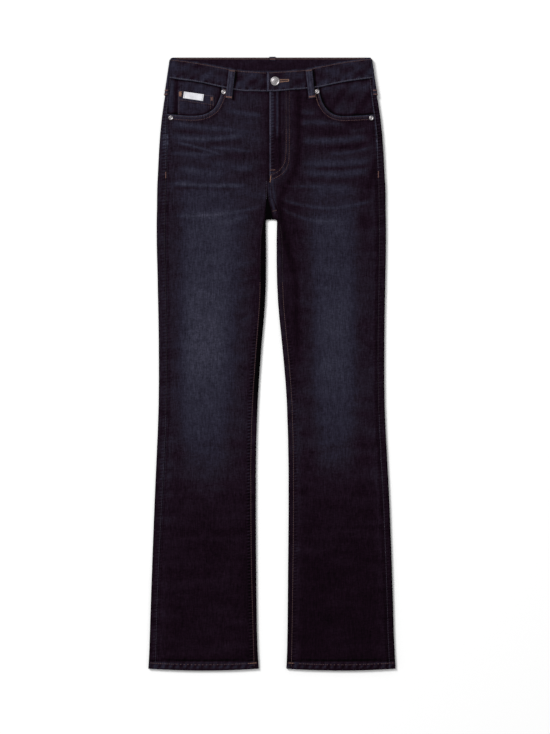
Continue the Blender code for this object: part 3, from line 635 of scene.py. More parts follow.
def node(tree, kind, inputs=None, **settings):
    """Adds a node, sets its properties, and fills its inputs."""
    made = tree.nodes.new(kind)
    for key, value in settings.items():
        setattr(made, key, value)
    fill(tree, made, inputs or {})
    return made


def math_node(tree, operation, a, b=0.0, c=0.0):
    return node(tree, "ShaderNodeMath", {0: a, 1: b, 2: c}, operation=operation).outputs[0]


def ramp(tree, factor, stops):
    made = node(tree, "ShaderNodeValToRGB", {"Fac": factor})
    elements = made.color_ramp.elements
    while len(elements) > 2:
        elements.remove(elements[-1])
    for place, (at, colour) in enumerate(stops):
        if place >= len(elements):
            elements.new(at)
        elements[place].position = at
        elements[place].color = colour
    return made.outputs["Color"]


def scaled_position(tree, sx, sy, sz, turn=0.0):
    where = node(tree, "ShaderNodeTexCoord").outputs["Object"]
    place = {"Vector": where, "Rotation": (0.0, 0.0, math.radians(turn)), "Scale": (sx, sy, sz)}
    return node(tree, "ShaderNodeMapping", place).outputs["Vector"]


def noise(tree, sx, sy, sz, detail):
    """Uneven values from 0 to 1, finer along an axis the larger its scale is."""
    look = {"Vector": scaled_position(tree, sx, sy, sz), "Scale": 1.0, "Detail": detail}
    return node(tree, "ShaderNodeTexNoise", look).outputs["Fac"]


def stripes(tree, turn, scale, distortion, detail_scale=1.0, sz=0.0):
    """Wavering stripes, turned by some degrees about the upright axis."""
    look = {"Vector": scaled_position(tree, 1.0, 1.0, sz, turn), "Scale": scale, "Distortion": distortion}
    look.update({"Detail": 2.0, "Detail Scale": detail_scale})
    return node(tree, "ShaderNodeTexWave", look).outputs["Fac"]


def normal_from(tree, height, strength, distance, over=None):
    """A surface normal from a height, on top of another normal."""
    look = {"Height": height, "Strength": strength, "Distance": distance}
    if over is not None:
        look["Normal"] = over
    return node(tree, "ShaderNodeBump", look).outputs["Normal"]


def twill_group():
    """Diagonal twill with uneven warp yarns: a mask of thick yarns, a height, and slow clouds."""
    values = [(name, "NodeSocketFloat") for name in ("Slub", "Height", "Cloud")]
    group, _, out = new_group("twill", [], values)
    long_slub = math_node(group, "MULTIPLY", noise(group, 600, 70, 60, 3), 0.43)
    short_slub = math_node(group, "MULTIPLY", noise(group, 800, 480, 90, 2), 0.29)
    weft = noise(group, 190, 430, 90, 2)
    cloud = noise(group, 15, 52, 20, 4)
    slub = math_node(group, "MULTIPLY_ADD", weft, 0.28, math_node(group, "ADD", long_slub, short_slub))
    lines = stripes(group, 28, 230, 1.6, 2)
    height = math_node(group, "MULTIPLY_ADD", lines, 0.6, math_node(group, "MULTIPLY", slub, 0.8))
    fill(group, out, {"Slub": slub, "Height": height, "Cloud": cloud})
    return group


YARN_HUE = 0.35  # how much of the yarns' unevenness changes the shade
YARN_BRIGHTNESS = 0.95  # and how much only the brightness

# brightness, and the screen colour of the denim there
SHADES = (
    (1, (2, 1, 2)),
    (6, (7, 2, 6)),
    (16, (18, 6, 16)),
    (23, (25.5, 13.5, 25)),
    (30, (31.5, 25, 36)),
    (36, (35, 31.5, 45)),
    (44, (41, 39, 53)),
    (52, (47, 46, 60)),
    (72, (67, 65, 81)),
)


def denim_colour_group():
    """Indigo by its wear and by painted shade: the fade-and-shade value, broken up by the yarns."""
    names = ("Fade", "Slub", "Cloud", "Mottle")
    sockets = [(name, "NodeSocketFloat") for name in names]
    group, given, out = new_group("denim_colour", sockets, [("Color", "NodeSocketColor")])
    fade_and_shade, slub, cloud, mottle = (given.outputs[name] for name in names)
    amount = math_node(group, "MULTIPLY", math_node(group, "MULTIPLY_ADD", fade_and_shade, 2.3, 0.24), mottle)
    yarns = math_node(group, "MULTIPLY", math_node(group, "SUBTRACT", slub, 0.5), amount)
    blotches = math_node(group, "MULTIPLY", math_node(group, "SUBTRACT", cloud, 0.5), 0.27)
    level = math_node(group, "ADD", fade_and_shade, blotches)
    shades = [(tone(value), linear(*colour, GAIN)) for value, colour in SHADES]
    colour = ramp(group, math_node(group, "MULTIPLY_ADD", yarns, YARN_HUE, level), shades)
    # the rest of the yarns' unevenness is in brightness alone
    share = math_node(group, "DIVIDE", yarns, math_node(group, "MAXIMUM", level, 0.06))
    bright = math_node(group, "MAXIMUM", math_node(group, "MULTIPLY_ADD", share, YARN_BRIGHTNESS, 1.0), 0.2)
    made = node(group, "ShaderNodeVectorMath", {0: colour, "Scale": bright}, operation="SCALE")
    fill(group, out, {"Color": made.outputs["Vector"]})
    return group


def pucker_group():
    """Ripples of a given strength across upright seams (rungs) and level ones (ropes)."""
    sockets = [("Rungs", "NodeSocketFloat"), ("Ropes", "NodeSocketFloat")]
    group, given, out = new_group("puckers", sockets, [("Ripple", "NodeSocketFloat")])
    parts = []
    for name, turn, scale in (("Rungs", 82, 54), ("Ropes", 24, 26)):
        centred = math_node(group, "SUBTRACT", stripes(group, turn, scale, 2.2, 0.6), 0.5)
        parts.append(math_node(group, "MULTIPLY", centred, given.outputs[name]))
    fill(group, out, {"Ripple": math_node(group, "ADD", *parts)})
    return group


def denim_material():
    """Denim whose wear, painted shade and ripples come from the values on the mesh: fade_and_shade, rungs and
    ropes.
    """
    material, tree, shader = new_material("denim_dyed")
    twill = node(tree, "ShaderNodeGroup", node_tree=twill_group()).outputs
    fade_and_shade, rungs, ropes = (
        node(tree, "ShaderNodeAttribute", attribute_name=name).outputs["Fac"]
        for name in ("fade_and_shade", "rungs", "ropes")
    )
    puckers = node(tree, "ShaderNodeGroup", node_tree=pucker_group())
    fill(tree, puckers, {"Rungs": rungs, "Ropes": ropes})
    ripple = puckers.outputs["Ripple"]
    fade_shade_ripple = math_node(tree, "MULTIPLY_ADD", ripple, 0.26, fade_and_shade)
    colour = node(tree, "ShaderNodeGroup", node_tree=denim_colour_group())
    fill(tree, colour, {"Fade": fade_shade_ripple, "Slub": twill["Slub"], "Cloud": twill["Cloud"], "Mottle": 1.0})
    folds = normal_from(tree, ripple, 0.8, 0.0012)
    woven = normal_from(tree, twill["Height"], 0.5, 0.0004, folds)
    fill(tree, shader, {"Base Color": colour.outputs["Color"], "Normal": woven, "Roughness": 0.92})
    fill(tree, shader, {"Specular IOR Level": 0.03, "Sheen Weight": 0.006, "Sheen Roughness": 0.5})
    return material


def thread_material(name, r, g, b):
    """Twisted thread, from a darker to a paler shade of its colour."""
    material, tree, shader = new_material(name)
    colour = linear(r, g, b, GAIN)[:3]
    dark = tuple(c * 0.6 for c in colour) + (1.0,)
    pale = tuple(c * 1.3 for c in colour) + (1.0,)
    shade = ramp(tree, noise(tree, 700, 700, 700, 2), ((0.3, dark), (0.7, pale)))
    twist = normal_from(tree, stripes(tree, 40, 900, 0.5, sz=1.0), 0.5, 0.0002)
    fill(tree, shader, {"Base Color": shade, "Normal": twist, "Roughness": 0.7, "Specular IOR Level": 0.25})
    return material


def label_material():
    """White woven tape, slightly soiled."""
    material, tree, shader = new_material("label_weave")
    weave = noise(tree, 260, 2600, 400, 2)
    soil = noise(tree, 120, 120, 120, 3)
    mixed = math_node(tree, "MULTIPLY_ADD", weave, 0.5, math_node(tree, "MULTIPLY", soil, 0.5))
    shade = ramp(tree, mixed, ((0.3, linear(176, 176, 182)), (0.7, linear(222, 222, 226))))
    threads = normal_from(tree, weave, 0.4, 0.0003)
    fill(tree, shader, {"Base Color": shade, "Normal": threads, "Roughness": 0.75, "Sheen Weight": 0.05})
    return material


def metal_material():
    """Aged nickel, unevenly dulled."""
    material, tree, shader = new_material("aged_nickel")
    grain = noise(tree, 900, 900, 900, 4)
    shade = ramp(tree, grain, ((0.35, linear(96, 92, 94)), (0.65, linear(190, 186, 188))))
    dull = node(tree, "ShaderNodeMapRange", {"Value": grain, "To Min": 0.28, "To Max": 0.5})
    normal = normal_from(tree, grain, 0.35, 0.0004)
    look = {"Base Color": shade, "Normal": normal, "Roughness": dull.outputs["Result"], "Metallic": 1.0}
    fill(tree, shader, look)
    return material


DENIM = denim_material()
THREAD_DULL = thread_material("thread_brown", 84, 60, 60)
THREAD = thread_material("thread_copper", 112, 79, 74)
THREAD_BRIGHT = thread_material("thread_orange", 150, 113, 96)
THREAD_TONAL = thread_material("thread_blue", 70, 66, 80)
THREAD_DARK = thread_material("thread_dark", 36, 26, 31)
LABEL = label_material()
METAL = metal_material()


# ---------------------------------------------------------------- making pieces


def place_points(mesh, points):
    """Moves all points of a mesh, in metres."""
    mesh.vertices.foreach_set("co", np.asarray(points, dtype=np.float32).ravel())
    mesh.update()


def closed_volume(mesh):
    """A measure of volume whose sign tells whether the faces look outwards."""
    mesh.calc_loop_triangles()
    points = np.empty(len(mesh.vertices) * 3, np.float32)
    mesh.vertices.foreach_get("co", points)
    faces = np.empty(len(mesh.loop_triangles) * 3, np.int32)
    mesh.loop_triangles.foreach_get("vertices", faces)
    corners = points.reshape(-1, 3)[faces.reshape(-1, 3)]
    return float(np.einsum("ij,ij->i", corners[:, 0], np.cross(corners[:, 1], corners[:, 2])).sum())


def shell(
    name, columns, rows, column_points, material=DENIM,
    keep=None, level=None, seams=None, turn=50.0,
):
    """A cloth piece as a thin closed slab.

    column_points(column, inside) gives x, down and z of a column's rows, on the outer or the inner face.
    keep says which squares of the grid are cloth, level how bright each point is, and seams where it ripples.
    """
    bm = bmesh.new()
    bmesh.ops.create_grid(bm, x_segments=columns, y_segments=rows, size=0.5)
    for vert in bm.verts:
        vert.co = Vector(((vert.co.x + 0.5) * columns, (vert.co.y + 0.5) * rows, 0.0))
    if keep:
        gone = [face for face in bm.faces if not keep(*face.calc_center_median()[:2])]
        bmesh.ops.delete(bm, geom=gone, context="FACES")
    made = bmesh.ops.extrude_face_region(bm, geom=bm.faces[:], use_keep_orig=True)
    for item in made["geom"]:
        if isinstance(item, bmesh.types.BMVert):
            item.co.z = 1.0
    bmesh.ops.recalc_face_normals(bm, faces=bm.faces[:])
    mesh = bpy.data.meshes.new(name + "_cloth")
    bm.to_mesh(mesh)
    bm.free()
    index = np.empty(len(mesh.vertices) * 3, np.float32)
    mesh.vertices.foreach_get("co", index)
    index = np.rint(index.reshape(-1, 3)).astype(int)
    grid = np.empty((columns + 1, rows + 1, 2, 3))
    for column in range(columns + 1):
        for inside in (0, 1):
            for axis, values in enumerate(column_points(column, inside)):
                grid[column, :, inside, axis] = values
    found = grid[index[:, 0], index[:, 1], index[:, 2]]
    place_points(mesh, (found * (1, -1, 1) + (0, MID_DOWN, 0)) * MM)
    if closed_volume(mesh) < 0:
        mesh.flip_normals()
    if level:
        set_values(mesh, "fade_and_shade", tone(level(*found.T)))
    if seams:
        for kind, values in zip(("rungs", "ropes"), seams(*found.T)):
            set_values(mesh, kind, values)
    kept = np.array([[not keep or keep(c + 0.5, r + 0.5) for r in range(rows)] for c in range(columns)])
    piece = add_piece(name + "_cloth", mesh, material, (name,), turn)
    return piece


def set_values(mesh, name, values):
    """Keeps one value for each point, for the denim material to read."""
    data = mesh.attributes.new(name, "FLOAT", "POINT").data
    data.foreach_set("value", np.asarray(values, dtype=np.float32).ravel())


def add_piece(name, mesh, material, replaced=(), turn=50.0):
    mesh.materials.append(material)
    mesh.shade_smooth()
    mesh.set_sharp_from_angle(angle=math.radians(turn))
    piece = bpy.data.objects.new(name, mesh)
    bpy.context.scene.collection.objects.link(piece)
    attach(piece, "root")
    if replaced:
        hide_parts(*replaced)
    return piece


EDGE_STEPS = (0.0, 0.25, 0.6, 1.1, 1.8, 2.8, 4.2, 6.0)


def spaced(start, end, step, fine_start=True, fine_end=True):
    """Positions from start to end about a step apart, and closer together at the piece's edges."""
    way = 1.0 if end > start else -1.0
    length = abs(end - start)
    first = [t for t in EDGE_STEPS if t < length / 2] if fine_start else [0.0]
    last = [length - t for t in EDGE_STEPS[::-1] if t < length / 2] if fine_end else [length]
    gap = last[0] - first[-1]
    count = max(int(round(gap / step)), 1)
    middle = [first[-1] + gap * i / count for i in range(1, count)]
    return np.array([start + way * t for t in first + middle + last])


def from_rim(at, width, run, height):
    """Distance from the nearest edge of a patch, at one place across it and all along it."""
    return np.minimum(min(at, width - at), np.minimum(run, height - run))


def edge_roll(distance, depth=0.5, reach=1.3):
    """How far a cut or folded edge rolls down, by the distance from it."""
    return depth * np.square(1.0 - np.clip(distance / reach, 0.0, 1.0))


# ---------------------------------------------------------------- front panels

TOP_DOWN = 40.0  # the rows start here and bend down to the waistband seam and the pocket opening


def opening_top(side, x):
    """down of a front panel's upper edge: the waistband seam, then the pocket opening."""
    path = OPENING_PATH[side]
    out = np.abs(x)
    opening = np.interp(out, np.maximum.accumulate(np.abs(path[:, 0])), path[:, 1])
    start = np.abs(OPENING[side][0][0])
    seam = band_seam(x) + SEAM
    return np.where(out > start, np.maximum(opening, seam), seam)


def front_edge(side, down):
    """x of a front panel's inner edge: the fly, then the inseam."""
    if side > 0:
        upper = FLY_EDGE
    else:
        upper = FLY_EDGE - SEAM + FLY_UNDERLAP * fall(down, FLY_END - 12, 11)
    return np.where(down <= CROTCH_POINT, upper, inseam_x(side, down) + side * SEAM / 2)


def bent_down(side, row_down, x):
    """down of a front panel's row at x: the upper rows follow the panel's upper edge."""
    keep = ease(row_down, TOP_DOWN, 160)
    return row_down + (opening_top(side, x) - TOP_DOWN) * (1.0 - keep)


def painted_loop_shadow(x, down):
    """Painted shadow along both front belt loops, mostly on their left, the side away from the light."""
    dark = 0.0
    for ends in FRONT_LOOPS.values():
        run, off = on_loop(ends, x, down)
        here = (run > -1) * (run < 53.5)
        away = np.abs(off) - LOOP_WIDTH / 2
        loop_shadow = np.where(off > 0, 32 * hump(away, 2.2, 2.2), 12 * hump(away, 1.2, 2.2))
        dark += here * loop_shadow
    return dark


def from_fly_rows(x, down):
    return np.minimum(distance_to(FLY_J, x, down), distance_to(FLY_J_INNER, x, down))


def valley_strip_and_shade(x, down):
    """The seam allowance of the left leg, paler where it passes the crotch, with painted shade in the valley
    beside it.
    """
    reach = np.clip((down - 228.0) / 64, 0.0, 1.4)
    strip = 14 * bump((x - 1.0 - 9 * reach) / 2.4) - 12 * bump((x + 3.6 - 9.5 * reach) / 2)
    return strip * ease(down, 214, 8) * fall(down, 330, 30)


def front_panel(name, side):
    rows = spaced(TOP_DOWN, HEM_DOWN, 3.0)
    left_top = outseam_x(side, 103.0) - side * SEAM / 2
    right_top = FLY_EDGE - SEAM + FLY_UNDERLAP if side < 0 else FLY_EDGE
    near = side * 104.0
    far = side * (88.0 if side < 0 else 82.0)
    steps = [
        spaced(left_top, near, 3.2, True, False),
        np.arange(near - side * 0.9, far, -side * 0.9),
        spaced(far, side * 60.0, 3.2, False, False),
        spaced(side * 60.0, right_top, 2.4, False, True)[1:],
    ]
    stops = np.concatenate(steps)
    shares = (stops - left_top) / (right_top - left_top)
    left_down = bent_down(side, rows, left_top)
    right_down = bent_down(side, rows, right_top)
    left = outseam_x(side, left_down) - side * SEAM / 2
    right = front_edge(side, right_down)
    path = OPENING_PATH[side]

    def column_points(column, inside):
        x = left + (right - left) * shares[column]
        down = bent_down(side, rows, x)
        bowed = down + hem_bow(side, x, down)
        z = surface(x, down)
        if side < 0:
            lapped = (down < FLY_END + 14.0) & (x > FLY_EDGE)
            z = np.where(lapped, z - fly_rise(x, down) - fly_drop(x, down), z)
        if inside:
            return x, bowed, z - wall_at(down)
        z = z - edge_roll(np.abs(x - left)) - edge_roll(np.abs(x - right), 0.55)
        z = z - edge_roll(HEM_DOWN - rows, 0.5, 1.6) - edge_roll(rows - TOP_DOWN, 0.55)
        if np.abs(x[0]) > 84:
            off = distance_to(path, x, down)
            facing = 0.30 * fall(off, 9, 2.5) - 0.14 * hump(off, 5.5, 2)
            z += np.where(down < 140, facing, 0.0)
        if side > 0:
            z -= 0.16 * bump(from_fly_rows(x, down) / 1.4) * (down < 226)
            z += 0.12 * pucker(down, x - 1.0, 7.0, 3.0, 0.3) * ease(down, 66, 10) * (down < 212)
            long = ease(down, 70, 14) * fall(down, 196, 12)
            z += 0.28 * hump(x, 11.6, 1.8) * long
        return x, bowed, z

    def level(x, down, z):
        off = distance_to(path, x, down)
        value = wear_and_shade_level(x, down) + 30 * hump(off, 0.8, 1.3) + 6 * hump(off, 4.6, 1.6)
        # the 7 just under the waistband seam is a painted shadow of the band's edge
        value = value - 5 * hump(off, 11, 2.2) - 7 * hump(down - band_seam(x), 2, 2.4)
        if side > 0:
            fly = (down > 60) * fall(down, FLY_END, 6)
            high = fly * fall(down, 128, 26)
            edge = (34.0 + 16 * (down < 140)) * hump(x - FLY_EDGE, 0.4, 1.1)
            value += fly * (edge - 7 * hump(x, 7, 10) - 12 * hump(x, 14, 1.8))
            ridges = 21 * hump(x, 0.8, 2.8) + 27 * hump(x, 9.6, 2.3) + 6 * hump(x, 17.2, 2)
            value += high * ridges
            rows_worn = 4.0 + 10 * ease(down, 192, 14)
            value += fly * rows_worn * hump(from_fly_rows(x, down), 1.6, 1.2)
            value += valley_strip_and_shade(x, down)
        else:
            # painted shade where the right front dips under the left one beside the fly
            beside = (down > 60) * (down < 226)
            value -= beside * (9 * hump(x - FLY_EDGE, -1.5, 2.6) + 5 * hump(x, -12, 9))
        return value - painted_loop_shadow(x, down)

    def seams(x, down, z):
        rungs, ropes = seam_masks(x, down)
        if side > 0:
            rungs += hump(x, 1.4, 2.6) * (down > 64) * fall(down, 206, 8)
        return rungs, ropes

    return shell(name, len(stops) - 1, len(rows) - 1, column_points, level=level, seams=seams)


# ---------------------------------------------------------------- back panels and yokes


def fold_radius(edge_x, edge_down, toward_x, toward_down):
    """Half the height of the upper surface at the top of a folded edge; toward points out over the edge."""
    radius = np.full(np.shape(edge_x), 3.0)
    for _ in range(6):
        radius = form_top(edge_x - toward_x * radius, edge_down - toward_down * radius) / 2
    return radius


def folded(edge_x, edge_down, toward_x, toward_down, radius, angle, wall):
    """A place on a folded edge, from 90 degrees on top to -90 underneath, and a wall's depth inside it."""
    reach = radius - (radius - wall) * math.cos(angle)
    z = radius + (radius - wall) * math.sin(angle)
    return edge_x - toward_x * reach, edge_down - toward_down * reach, z


POCKET_PATH = {
    -1: np.array(BACK_POCKET + BACK_POCKET[:1]),
    1: np.array(BACK_POCKET + BACK_POCKET[:1]) * (-1.0, 1.0),
}


def inside_pocket(side, x, down):
    """Signed distance into the back pocket's outline, in millimetres."""
    corners = POCKET_PATH[side]
    best = np.full(np.shape(x), 1e9)
    for (ax, ay), (bx, by) in zip(corners, corners[1:]):
        length = math.hypot(bx - ax, by - ay)
        off = ((bx - ax) * (down - ay) - (by - ay) * (x - ax)) / length * (-side)
        best = np.minimum(best, off)
    return best


def on_top(x, down, z):
    """1 on the upper layer and 0 on the lower one, for a piece that wraps round the side."""
    return smooth(z / form_top(x, down) * 2.0 - 0.5)


def under_back_loop(x):
    """1 where the back belt loop is let into the cloth under it."""
    return smooth((LOOP_WIDTH / 2 + 3.4 - np.abs(x - LOOP_BACK_X)) / 3.2)


def under_relief(side, x, down):
    """How far the lower layer's outer face stands up from the surface under it."""
    z = 0.12 + 0.10 * np.sin(x / 29 + down / 51) * np.sin(down / 67 - x / 43)
    z += 1.18 * ease(inside_pocket(side, x, down), -3.6, 3.6)
    z = np.maximum(z, 1.3 * under_back_loop(x) * fall(down, 50, 3))
    for s in (-1, 1):
        across = (x - outseam_x(s, down)) * s
        z += 0.10 * pucker(down, across + 16.0, 12.0, 9.0, 1.2 + s)
    hem = HEM_DOWN - down
    ripple = 1.0 + pucker(x - 0.8 * hem, hem - 12.0, 6.8, 5.0, 1.4)
    z += 0.12 * ripple * (down > NEAR_HEM) * hump(hem, 12, 5)
    return np.maximum(z, 0.0) * ease(distance_from_sides(x, down), 3, 4)


ROLL = 8
ROLL_ANGLES = [math.radians(90.0 - 180 * i / ROLL) for i in range(ROLL + 1)]


def back_seam_x(side):
    return BACK_SEAM + side * SEAM / 2


def back_rows(side):
    """Each row's outer edge and its end on the lower layer and, below the seat, its inner fold and seam."""
    seat, notch = 64, 26  # how many rows each takes
    outer = np.linspace(YOKE_SIDE + SEAM, 268.0, seat)
    centre = np.linspace(YOKE_CENTRE + SEAM, 288.6, seat)
    share = np.linspace(-1.0, 1.0, notch)
    stages = (-1.0, -0.5, 0.0, 0.33, 0.67, 1.0)
    outer_notch = np.interp(share, stages, (270.0, 277.0, 283.0, 289.0, 296.0, 303.0))
    seam_notch = np.interp(share, stages, (CROTCH_POINT, 256.0, 262.0, 270.0, 280.0, 296.1))
    leg = spaced(306.0, HEM_DOWN, 3.1, False, True)
    corner = float(INNER[side](296.1))
    centre_x = corner - side * NOTCH_RADIUS
    angle = np.clip(share, 0.0, 1.0) * math.pi / 2
    toward_x = np.where(share > 0, -side * np.sin(angle), 0.0)
    toward_d = np.where(share > 0, np.cos(angle), 1.0)
    start = back_seam_x(side)
    straight = start + (centre_x - start) * (1.0 + share)
    edge_x = np.where(share > 0, centre_x - toward_x * NOTCH_RADIUS, straight)
    edge_d = np.where(share > 0, CROTCH_DOWN + NOTCH_RADIUS - toward_d * NOTCH_RADIUS, CROTCH_DOWN)
    rows = {
        "outer": np.concatenate([outer, outer_notch, leg]),
        "edge_x": np.concatenate([np.full(seat, start), edge_x, INNER[side](leg)]),
        "edge_d": np.concatenate([centre, edge_d, leg]),
        "toward_x": np.concatenate([np.zeros(seat), toward_x, np.full(len(leg), float(-side))]),
        "toward_d": np.concatenate([np.ones(seat), toward_d, np.zeros(len(leg))]),
        "seam_d": np.concatenate([centre, seam_notch, leg]),
        "seat": np.arange(seat + notch + len(leg)) < seat,
    }
    top_end = rows["seam_d"] <= CROTCH_POINT + 0.01
    seam_x = inseam_x(side, rows["seam_d"]) - side * SEAM / 2
    rows["seam_x"] = np.where(top_end, FLY_EDGE - SEAM / 2 + side * SEAM / 2, seam_x)
    return rows, seat


def back_panel(name, side):
    rows, seat = back_rows(side)
    outer = rows["outer"]
    hem_edge = HEM_DOWN - outer
    outer_x = side * OUTER[side](outer)
    radius = fold_radius(outer_x, outer, side, 0.0)
    fold = [rows[key] for key in ("edge_x", "edge_d", "toward_x", "toward_d")]
    inner_radius = fold_radius(*fold)
    end_x = np.where(rows["seat"], rows["edge_x"], rows["edge_x"] - rows["toward_x"] * inner_radius)
    end_d = np.where(rows["seat"], rows["edge_d"], rows["edge_d"] - rows["toward_d"] * inner_radius)
    rim = np.array([0.0, 0.05, 0.12, 0.22, 0.36, 0.52, 0.68, 0.84, 1.0])
    shares = spaced(0.0, 200.0, 4.2, False, True) / 200
    bottom_start = len(rim) - 1 + ROLL
    bottom_end = bottom_start + len(shares) - 1
    last = bottom_end + ROLL + 6
    leg_row = ~rows["seat"]

    def column_points(column, inside):
        wall = wall_at(outer) * inside
        roll = 0.0 if inside else 1.0
        at_hem = edge_roll(hem_edge, 0.5, 1.6) * roll
        at_top = edge_roll(outer - outer[0], 0.5, 1.6) * roll
        if column < len(rim) - 1:
            seam = outseam_x(side, outer) + side * SEAM / 2
            x = seam + (outer_x - side * radius - seam) * rim[column]
            z = form_top(x, outer) + relief(x, outer) - edge_roll(np.abs(x - seam)) * roll
            return x, outer + hem_bow(side, x, outer), z - wall - at_hem - at_top
        if column < bottom_start:
            angle = ROLL_ANGLES[column - len(rim) + 1]
            x, down, z = folded(outer_x, outer, side, 0.0, radius, angle, wall)
            return x, down + hem_bow(side, outer_x - side * radius, outer), z
        if column <= bottom_end:
            share = shares[column - bottom_start]
            start_x = outer_x - side * radius
            x = start_x + (end_x - start_x) * share
            down = outer + (end_d - outer) * share
            z = under_relief(side, x, down) + at_hem + at_top
            z += edge_roll(np.abs(x - end_x), 0.5, 1.6) * roll * rows["seat"]
            return x, down + hem_bow(side, x, outer), z + wall
        if column <= bottom_end + ROLL:
            angle = ROLL_ANGLES[ROLL - (column - bottom_end)]
            x, down, z = folded(*fold, inner_radius, angle, wall)
            return x, down + hem_bow(side, x, outer) * leg_row, z
        share = (column - bottom_end - ROLL) / 6
        share = 1.0 - (1.0 - share) ** 1.4
        x = end_x + (rows["seam_x"] - end_x) * share
        down = end_d + (rows["seam_d"] - end_d) * share
        to_seam = np.hypot(x - rows["seam_x"], down - rows["seam_d"])
        z = form_top(x, down) + relief(x, down) - edge_roll(to_seam) * roll
        bow = np.where(outer > 1000, hem_bow(side, x, outer), 0.0)
        return x, down + bow, z - wall - at_hem

    def keep(column, row):
        return column < bottom_end or row > seat

    def level(x, down, z):
        top = on_top(x, down, z)
        seat_worn = 12 * hump(np.abs(x), 96, 60) * hump(down, 230, 80)
        seat_worn = seat_worn * ease(distance_from_sides(x, down), 2, 8)
        seat_worn += 8 * hump(inside_pocket(side, x, down), -2, 2)
        return wear_and_shade_level(x, down, top) + seat_worn * (1.0 - top)

    def seams(x, down, z):
        top = on_top(x, down, z)
        rungs, ropes = seam_masks(x, down, top)
        seat = hump(np.abs(x - BACK_SEAM), 6, 3) * (down < 292)
        under_yoke = hump(down - YOKE_CENTRE + (np.abs(x) * 0.131), 4, 4)
        return rungs + 0.6 * seat * (1.0 - top), ropes + 0.5 * under_yoke * (1.0 - top)

    return shell(name, last, len(outer) - 1, column_points, keep=keep, level=level, seams=seams)


def yoke(name, side):
    side_top = float(max(band_seam(side * 185.0), BAND_BACK_SEAM)) + SEAM
    run = spaced(0.0, YOKE_SIDE - side_top, 3.0)
    outer = side_top + run
    share_down = run / run[-1]
    centre = BAND_BACK_SEAM + SEAM + (YOKE_CENTRE - BAND_BACK_SEAM - SEAM) * share_down
    outer_x = side * OUTER[side](outer)
    radius = fold_radius(outer_x, outer, side, 0.0)
    rim = np.array([0.0, 0.1, 0.25, 0.5, 0.75, 1.0])
    shares = spaced(0.0, 190.0, 4.0, False, True) / 190
    bottom_start = len(rim) - 1 + ROLL

    def column_points(column, inside):
        wall = WALL * inside
        roll = 0.0 if inside else 1.0
        edges = (edge_roll(run, 0.5, 1.6) + edge_roll(run[-1] - run, 0.5, 1.6)) * roll
        if column < len(rim) - 1:
            seam = outseam_x(side, outer) + side * SEAM / 2
            x = seam + (outer_x - side * radius - seam) * rim[column]
            down = np.maximum(outer, band_seam(x) + SEAM)
            return x, down, form_top(x, outer) - wall - edges - edge_roll(np.abs(x - seam)) * roll
        if column < bottom_start:
            return folded(outer_x, outer, side, 0.0, radius, ROLL_ANGLES[column - len(rim) + 1], wall)
        share = shares[column - bottom_start]
        start_x = outer_x - side * radius
        x = start_x + (back_seam_x(side) - start_x) * share
        down = outer + (centre - outer) * share
        middle = edge_roll(np.abs(x - back_seam_x(side)), 0.5, 1.6) * roll
        return x, down, under_relief(side, x, down) + edges + middle + wall

    def level(x, down, z):
        value = wear_and_shade_level(x, down, on_top(x, down, z))
        return value + 5 * bump((down - YOKE_SIDE - (190.0 - np.abs(x)) * 0.131) / 4)

    def seams(x, down, z):
        return seam_masks(x, down, on_top(x, down, z))

    columns = bottom_start + len(shares) - 1
    return shell(name, columns, len(run) - 1, column_points, level=level, seams=seams)


def back_pocket(name, side):
    corners = POCKET_PATH[side]
    a, b, c, d, e = [np.array(p, dtype=float) for p in corners[:5]]
    height, width = 150.0, 137.0
    run = spaced(0.0, height, 4.0)
    across = spaced(0.0, width, 4.0)

    def column_points(column, inside):
        u = across[column] / width
        v = run / height
        upper = a + (b - a) * u
        peak = (d[0] - e[0]) / (c[0] - e[0])
        lower = e + (d - e) * (u / peak) if u < peak else d + (c - d) * ((u - peak) / (1.0 - peak))
        left = a[0] + (e[0] - a[0]) * v
        right = b[0] + (c[0] - b[0]) * v
        spot = upper + (lower - upper) * v[:, None]
        x = (left + (right - left) * u) * 0.5 + spot[:, 0] * 0.5
        down = spot[:, 1]
        from_edge = from_rim(across[column], width, run, height)
        z = 0.05 + 0.12 * hump(from_edge, 4, 2)
        z += 0.10 * np.sin(x / 17 + down / 23) * smooth(from_edge / 12)
        if inside:
            return x, down, np.full(np.shape(x), PATCH_WALL)
        return x, down, np.maximum(z, 0.0) + edge_roll(from_edge, 0.5, 1.2)

    def level(x, down, z):
        inside = inside_pocket(side, x, down)
        return wear_and_shade_level(x, down, 0.0) + 6.0 + 14 * bump(inside / 1.8) - 4 * hump(inside, 5, 3)

    return shell(name, len(across) - 1, len(run) - 1, column_points, level=level)


# ---------------------------------------------------------------- pocket facings, coin pocket and label


def facing_height(side, x, down):
    under = WALL + GAP + (PATCH_WALL + GAP if side < 0 else 0.0)
    left = outseam_x(side, 60.0)
    to_side = (1.0 - smooth(np.abs(x - left) / 14)) * fall(down, 86, 8)
    return form_top(x, down) - under * (1.0 - to_side)


